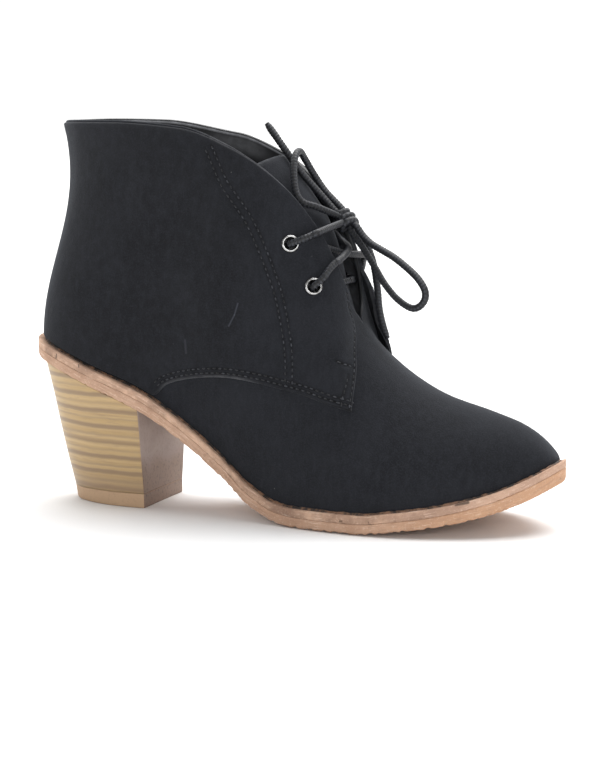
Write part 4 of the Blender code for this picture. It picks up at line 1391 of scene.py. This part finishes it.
# Cords of the bow: piece, route, node, far end
BOW_CORDS = [
    ("bow_loop_near", LACE_LOOP_NEAR, "lace_loop_near", "knot"),
    ("bow_loop_far", LACE_LOOP_FAR, "lace_loop_far", "knot"),
    ("bow_end_near", LACE_END_NEAR, "lace_end_near", "bare"),
    ("bow_end_far", LACE_END_FAR, "lace_end_far", "bare"),
]
KNOT_TURNS = 2.4
KNOT_RADII = (0.0031, 0.0036)
KNOT_LENGTH = 0.0056
KNOT_ENTRY = 0.25
KNOT_AXIS = (0.55, -0.35, -0.6)
KNOT_ASIDE = (0.0, 1.0, 0.2)
KNOT_POINTS = 140


def cord_piece(name, points, tip=False):
    """Braided cord along points, tapered to a tip if asked."""
    run = unit(np.gradient(points, axis=0))
    across = np.cross(run[0], LACE_ASIDE)
    first = []
    for direction in run:
        across = unit(across - direction * (across @ direction))
        first.append(across)
    first = np.array(first)
    lengths = path_lengths(points)
    turns = np.linspace(0, 2 * math.pi, LACE_SIDES + 1)[:-1]
    phase = 2 * math.pi * lengths[:, None] / BRAID_PITCH
    braid = np.sin(phase + 2 * turns) * np.sin(phase - 2 * turns)
    width = np.ones(len(points))
    if tip:
        width = 1 - TIP_NARROWING * np.clip(1 - (lengths[-1] - lengths) / TIP_LENGTH, 0, 1) ** 2
    mean, swing = BRAID_RADIUS
    radius = LACE_RADIUS * width[:, None] * (mean + swing * braid)
    skin_points = tube(points, first, np.cross(run, first), radius, LACE_SIDES)
    shape = Shape()
    # The braid's wave also gives the painted highlight
    shape.grid(skin_points, wrap=True, flip=True, braid=np.clip(braid, 0, 1))
    shape.cap(skin_points[0], True)
    shape.cap(skin_points[-1], False)
    return shape.piece(name, [LACE], CORD_WELD)


def facing_places(rows, own_side):
    return [tuple(above_skin(angle, rise, own_side * which, height)) for angle, rise, which, height in rows]


def lace_half(own_side, cross_lift):
    """Route of one half: bar, lower eyelet, crossing, other upper eyelet, knot."""
    low_point, low_normal = eyelet_place("low", own_side)
    high_point, high_normal = eyelet_place("high", -own_side)
    route = [LACE_BAR_CENTRE]
    route += facing_places(LACE_BAR_HALF, own_side)
    route += [tuple(low_point + height * low_normal) for height in LOW_PASS]
    route += facing_places(LACE_CROSSING, own_side)
    route.append(tuple(np.array(LACE_CROSSING_CENTRE) + np.array(CROSSING_WAY) * cross_lift))
    route += facing_places(LACE_CROSSING_FAR, own_side)
    route += [tuple(high_point + height * high_normal) for height in HIGH_PASS]
    route += facing_places(LACE_LEAD, own_side)
    route.append(LACE_KNOT_CENTRE)
    return spline_points(route, LACE_SPACING)


def knot_route():
    """Cord wound round the middle of the bow."""
    axis = unit(np.array(KNOT_AXIS))
    first = unit(np.cross(axis, KNOT_ASIDE))
    second = np.cross(axis, first)
    turns = np.linspace(0, 2 * math.pi * KNOT_TURNS, KNOT_POINTS)
    wind = np.outer(np.cos(turns), first) * KNOT_RADII[0] + np.outer(np.sin(turns), second) * KNOT_RADII[1]
    shift = np.outer(KNOT_LENGTH * np.sin(np.linspace(-0.5, 0.5, len(turns)) * math.pi) / 2, axis)
    return even_points(np.array(LACE_KNOT_CENTRE) + wind + shift, LACE_SPACING)


def from_knot(route, both_ends):
    """Route of a bow cord with its hidden start, and end, inside the knot."""
    centre = np.array(LACE_KNOT_CENTRE)
    points = [np.array(point) for point in route]
    start = centre + (points[0] - centre) * KNOT_ENTRY
    end = [centre + (points[-1] - centre) * KNOT_ENTRY] if both_ends else []
    return [start] + points + end


def build_lace():
    """Both halves of the lace through the eyelets, the knot, and the bow's loops and ends."""
    for name, node, own_side, cross_lift in LACE_RUNS:
        finish_piece(cord_piece(name, lace_half(own_side, cross_lift)), "lace", node)
    knot = finish_piece(cord_piece("bow_knot", knot_route()), "lace", "lace_knot")
    for name, route, node, far_end in BOW_CORDS:
        points = spline_points(from_knot(route, far_end == "knot"), LACE_SPACING)
        item = finish_piece(cord_piece(name, points, far_end == "bare"), "lace", node)


# Stage

CAMERA_TARGET = (0.0038, 0.0, 0.0589)
CAMERA_AZIMUTH = 21.4
CAMERA_ELEVATION = 8.2
CAMERA_DISTANCE = 0.920
CAMERA_LENS = 98.05
CAMERA_SENSOR = 36.0
CAMERA_NEAREST = 0.01
# Strength of the world on the camera's side and on the far side, and the part of its depth where it turns
WORLD_DIM = 0.24
WORLD_BRIGHT = 1.06
WORLD_TURN = (-0.7, 0.5)
SUN_FROM = (0.03, 0.36, 0.93)
SUN_STRENGTH = 3.9
SUN_SPREAD = 58
# Area lights: name, place, size, power
LIGHTS = [
    ("front", (0.45, -1.00, 0.36), (0.5, 0.4), 3.7),
    ("left", (-1.20, -0.15, 0.50), (0.8, 0.8), 3.0),
]
LIGHT_TARGET = (0.0, 0.0, 0.06)
FLOOR_REACH = 6.0
FLOOR_HEIGHT = -0.0002
FLOOR_BRIGHTNESS = 0.86


def build_camera():
    azimuth = math.radians(CAMERA_AZIMUTH)
    elevation = math.radians(CAMERA_ELEVATION)
    away = Vector((math.sin(azimuth) * math.cos(elevation), -math.cos(azimuth) * math.cos(elevation),
                   math.sin(elevation)))
    data = bpy.data.cameras.new("camera")
    data.lens = CAMERA_LENS
    data.sensor_width = CAMERA_SENSOR
    data.sensor_fit = "AUTO"
    data.clip_start = CAMERA_NEAREST
    camera = link("camera", data)
    camera.location = Vector(CAMERA_TARGET) + away * CAMERA_DISTANCE
    camera.rotation_euler = (-away).to_track_quat("-Z", "Y").to_euler()
    bpy.context.scene.camera = camera


def build_lights():
    """Broad sun from above and behind, and two weak area lights on the boot's outer side."""
    sun = bpy.data.lights.new("sun", "SUN")
    sun.energy = SUN_STRENGTH
    sun.angle = math.radians(SUN_SPREAD)
    link("sun", sun).rotation_euler = Vector(SUN_FROM).to_track_quat("Z", "Y").to_euler()
    for name, place, size, power in LIGHTS:
        data = bpy.data.lights.new(name, "AREA")
        data.shape = "RECTANGLE"
        data.size, data.size_y = size
        data.energy = power
        light = link(name, data)
        light.location = place
        light.rotation_euler = (Vector(LIGHT_TARGET) - Vector(place)).to_track_quat("-Z", "Y").to_euler()


def build_world():
    """White studio, dimmer on the side that the outer face of the boot looks at."""
    world = bpy.data.worlds.new("studio")
    world.use_nodes = True
    tree = world.node_tree
    background = tree.nodes["Background"]
    background.inputs["Color"].default_value = (1.0, 1.0, 1.0, 1.0)
    place = tree.nodes.new("ShaderNodeTexCoord")
    parts = tree.nodes.new("ShaderNodeSeparateXYZ")
    share = tree.nodes.new("ShaderNodeMapRange")
    share.interpolation_type = "SMOOTHSTEP"
    share.inputs["From Min"].default_value, share.inputs["From Max"].default_value = WORLD_TURN
    share.inputs["To Min"].default_value = WORLD_DIM
    share.inputs["To Max"].default_value = WORLD_BRIGHT
    tree.links.new(place.outputs["Generated"], parts.inputs[0])
    tree.links.new(parts.outputs["Y"], share.inputs["Value"])
    tree.links.new(share.outputs["Result"], background.inputs["Strength"])
    bpy.context.scene.world = world


def build_stage():
    """Pale floor, studio and lights."""
    floor = bpy.data.meshes.new("floor")
    corners = [(-1, -1), (1, -1), (1, 1), (-1, 1)]
    floor.from_pydata([(x * FLOOR_REACH, y * FLOOR_REACH, 0) for x, y in corners], [], [(0, 1, 2, 3)])
    floor.materials.append(Surface("floor").finish(grey(FLOOR_BRIGHTNESS), 0.7, specular=0.1))
    item = link("floor", floor)
    item.location.z = FLOOR_HEIGHT
    build_world()
    bpy.context.scene.view_settings.view_transform = "Standard"
    build_lights()


build_camera()
build_lace()
build_sole()
build_vamp()
build_quarter("quarter_outer_leather", "quarter_outer", -1)
build_quarter("quarter_inner_leather", "quarter_inner", 1)
build_tongue()
build_eyelets()
build_stage()
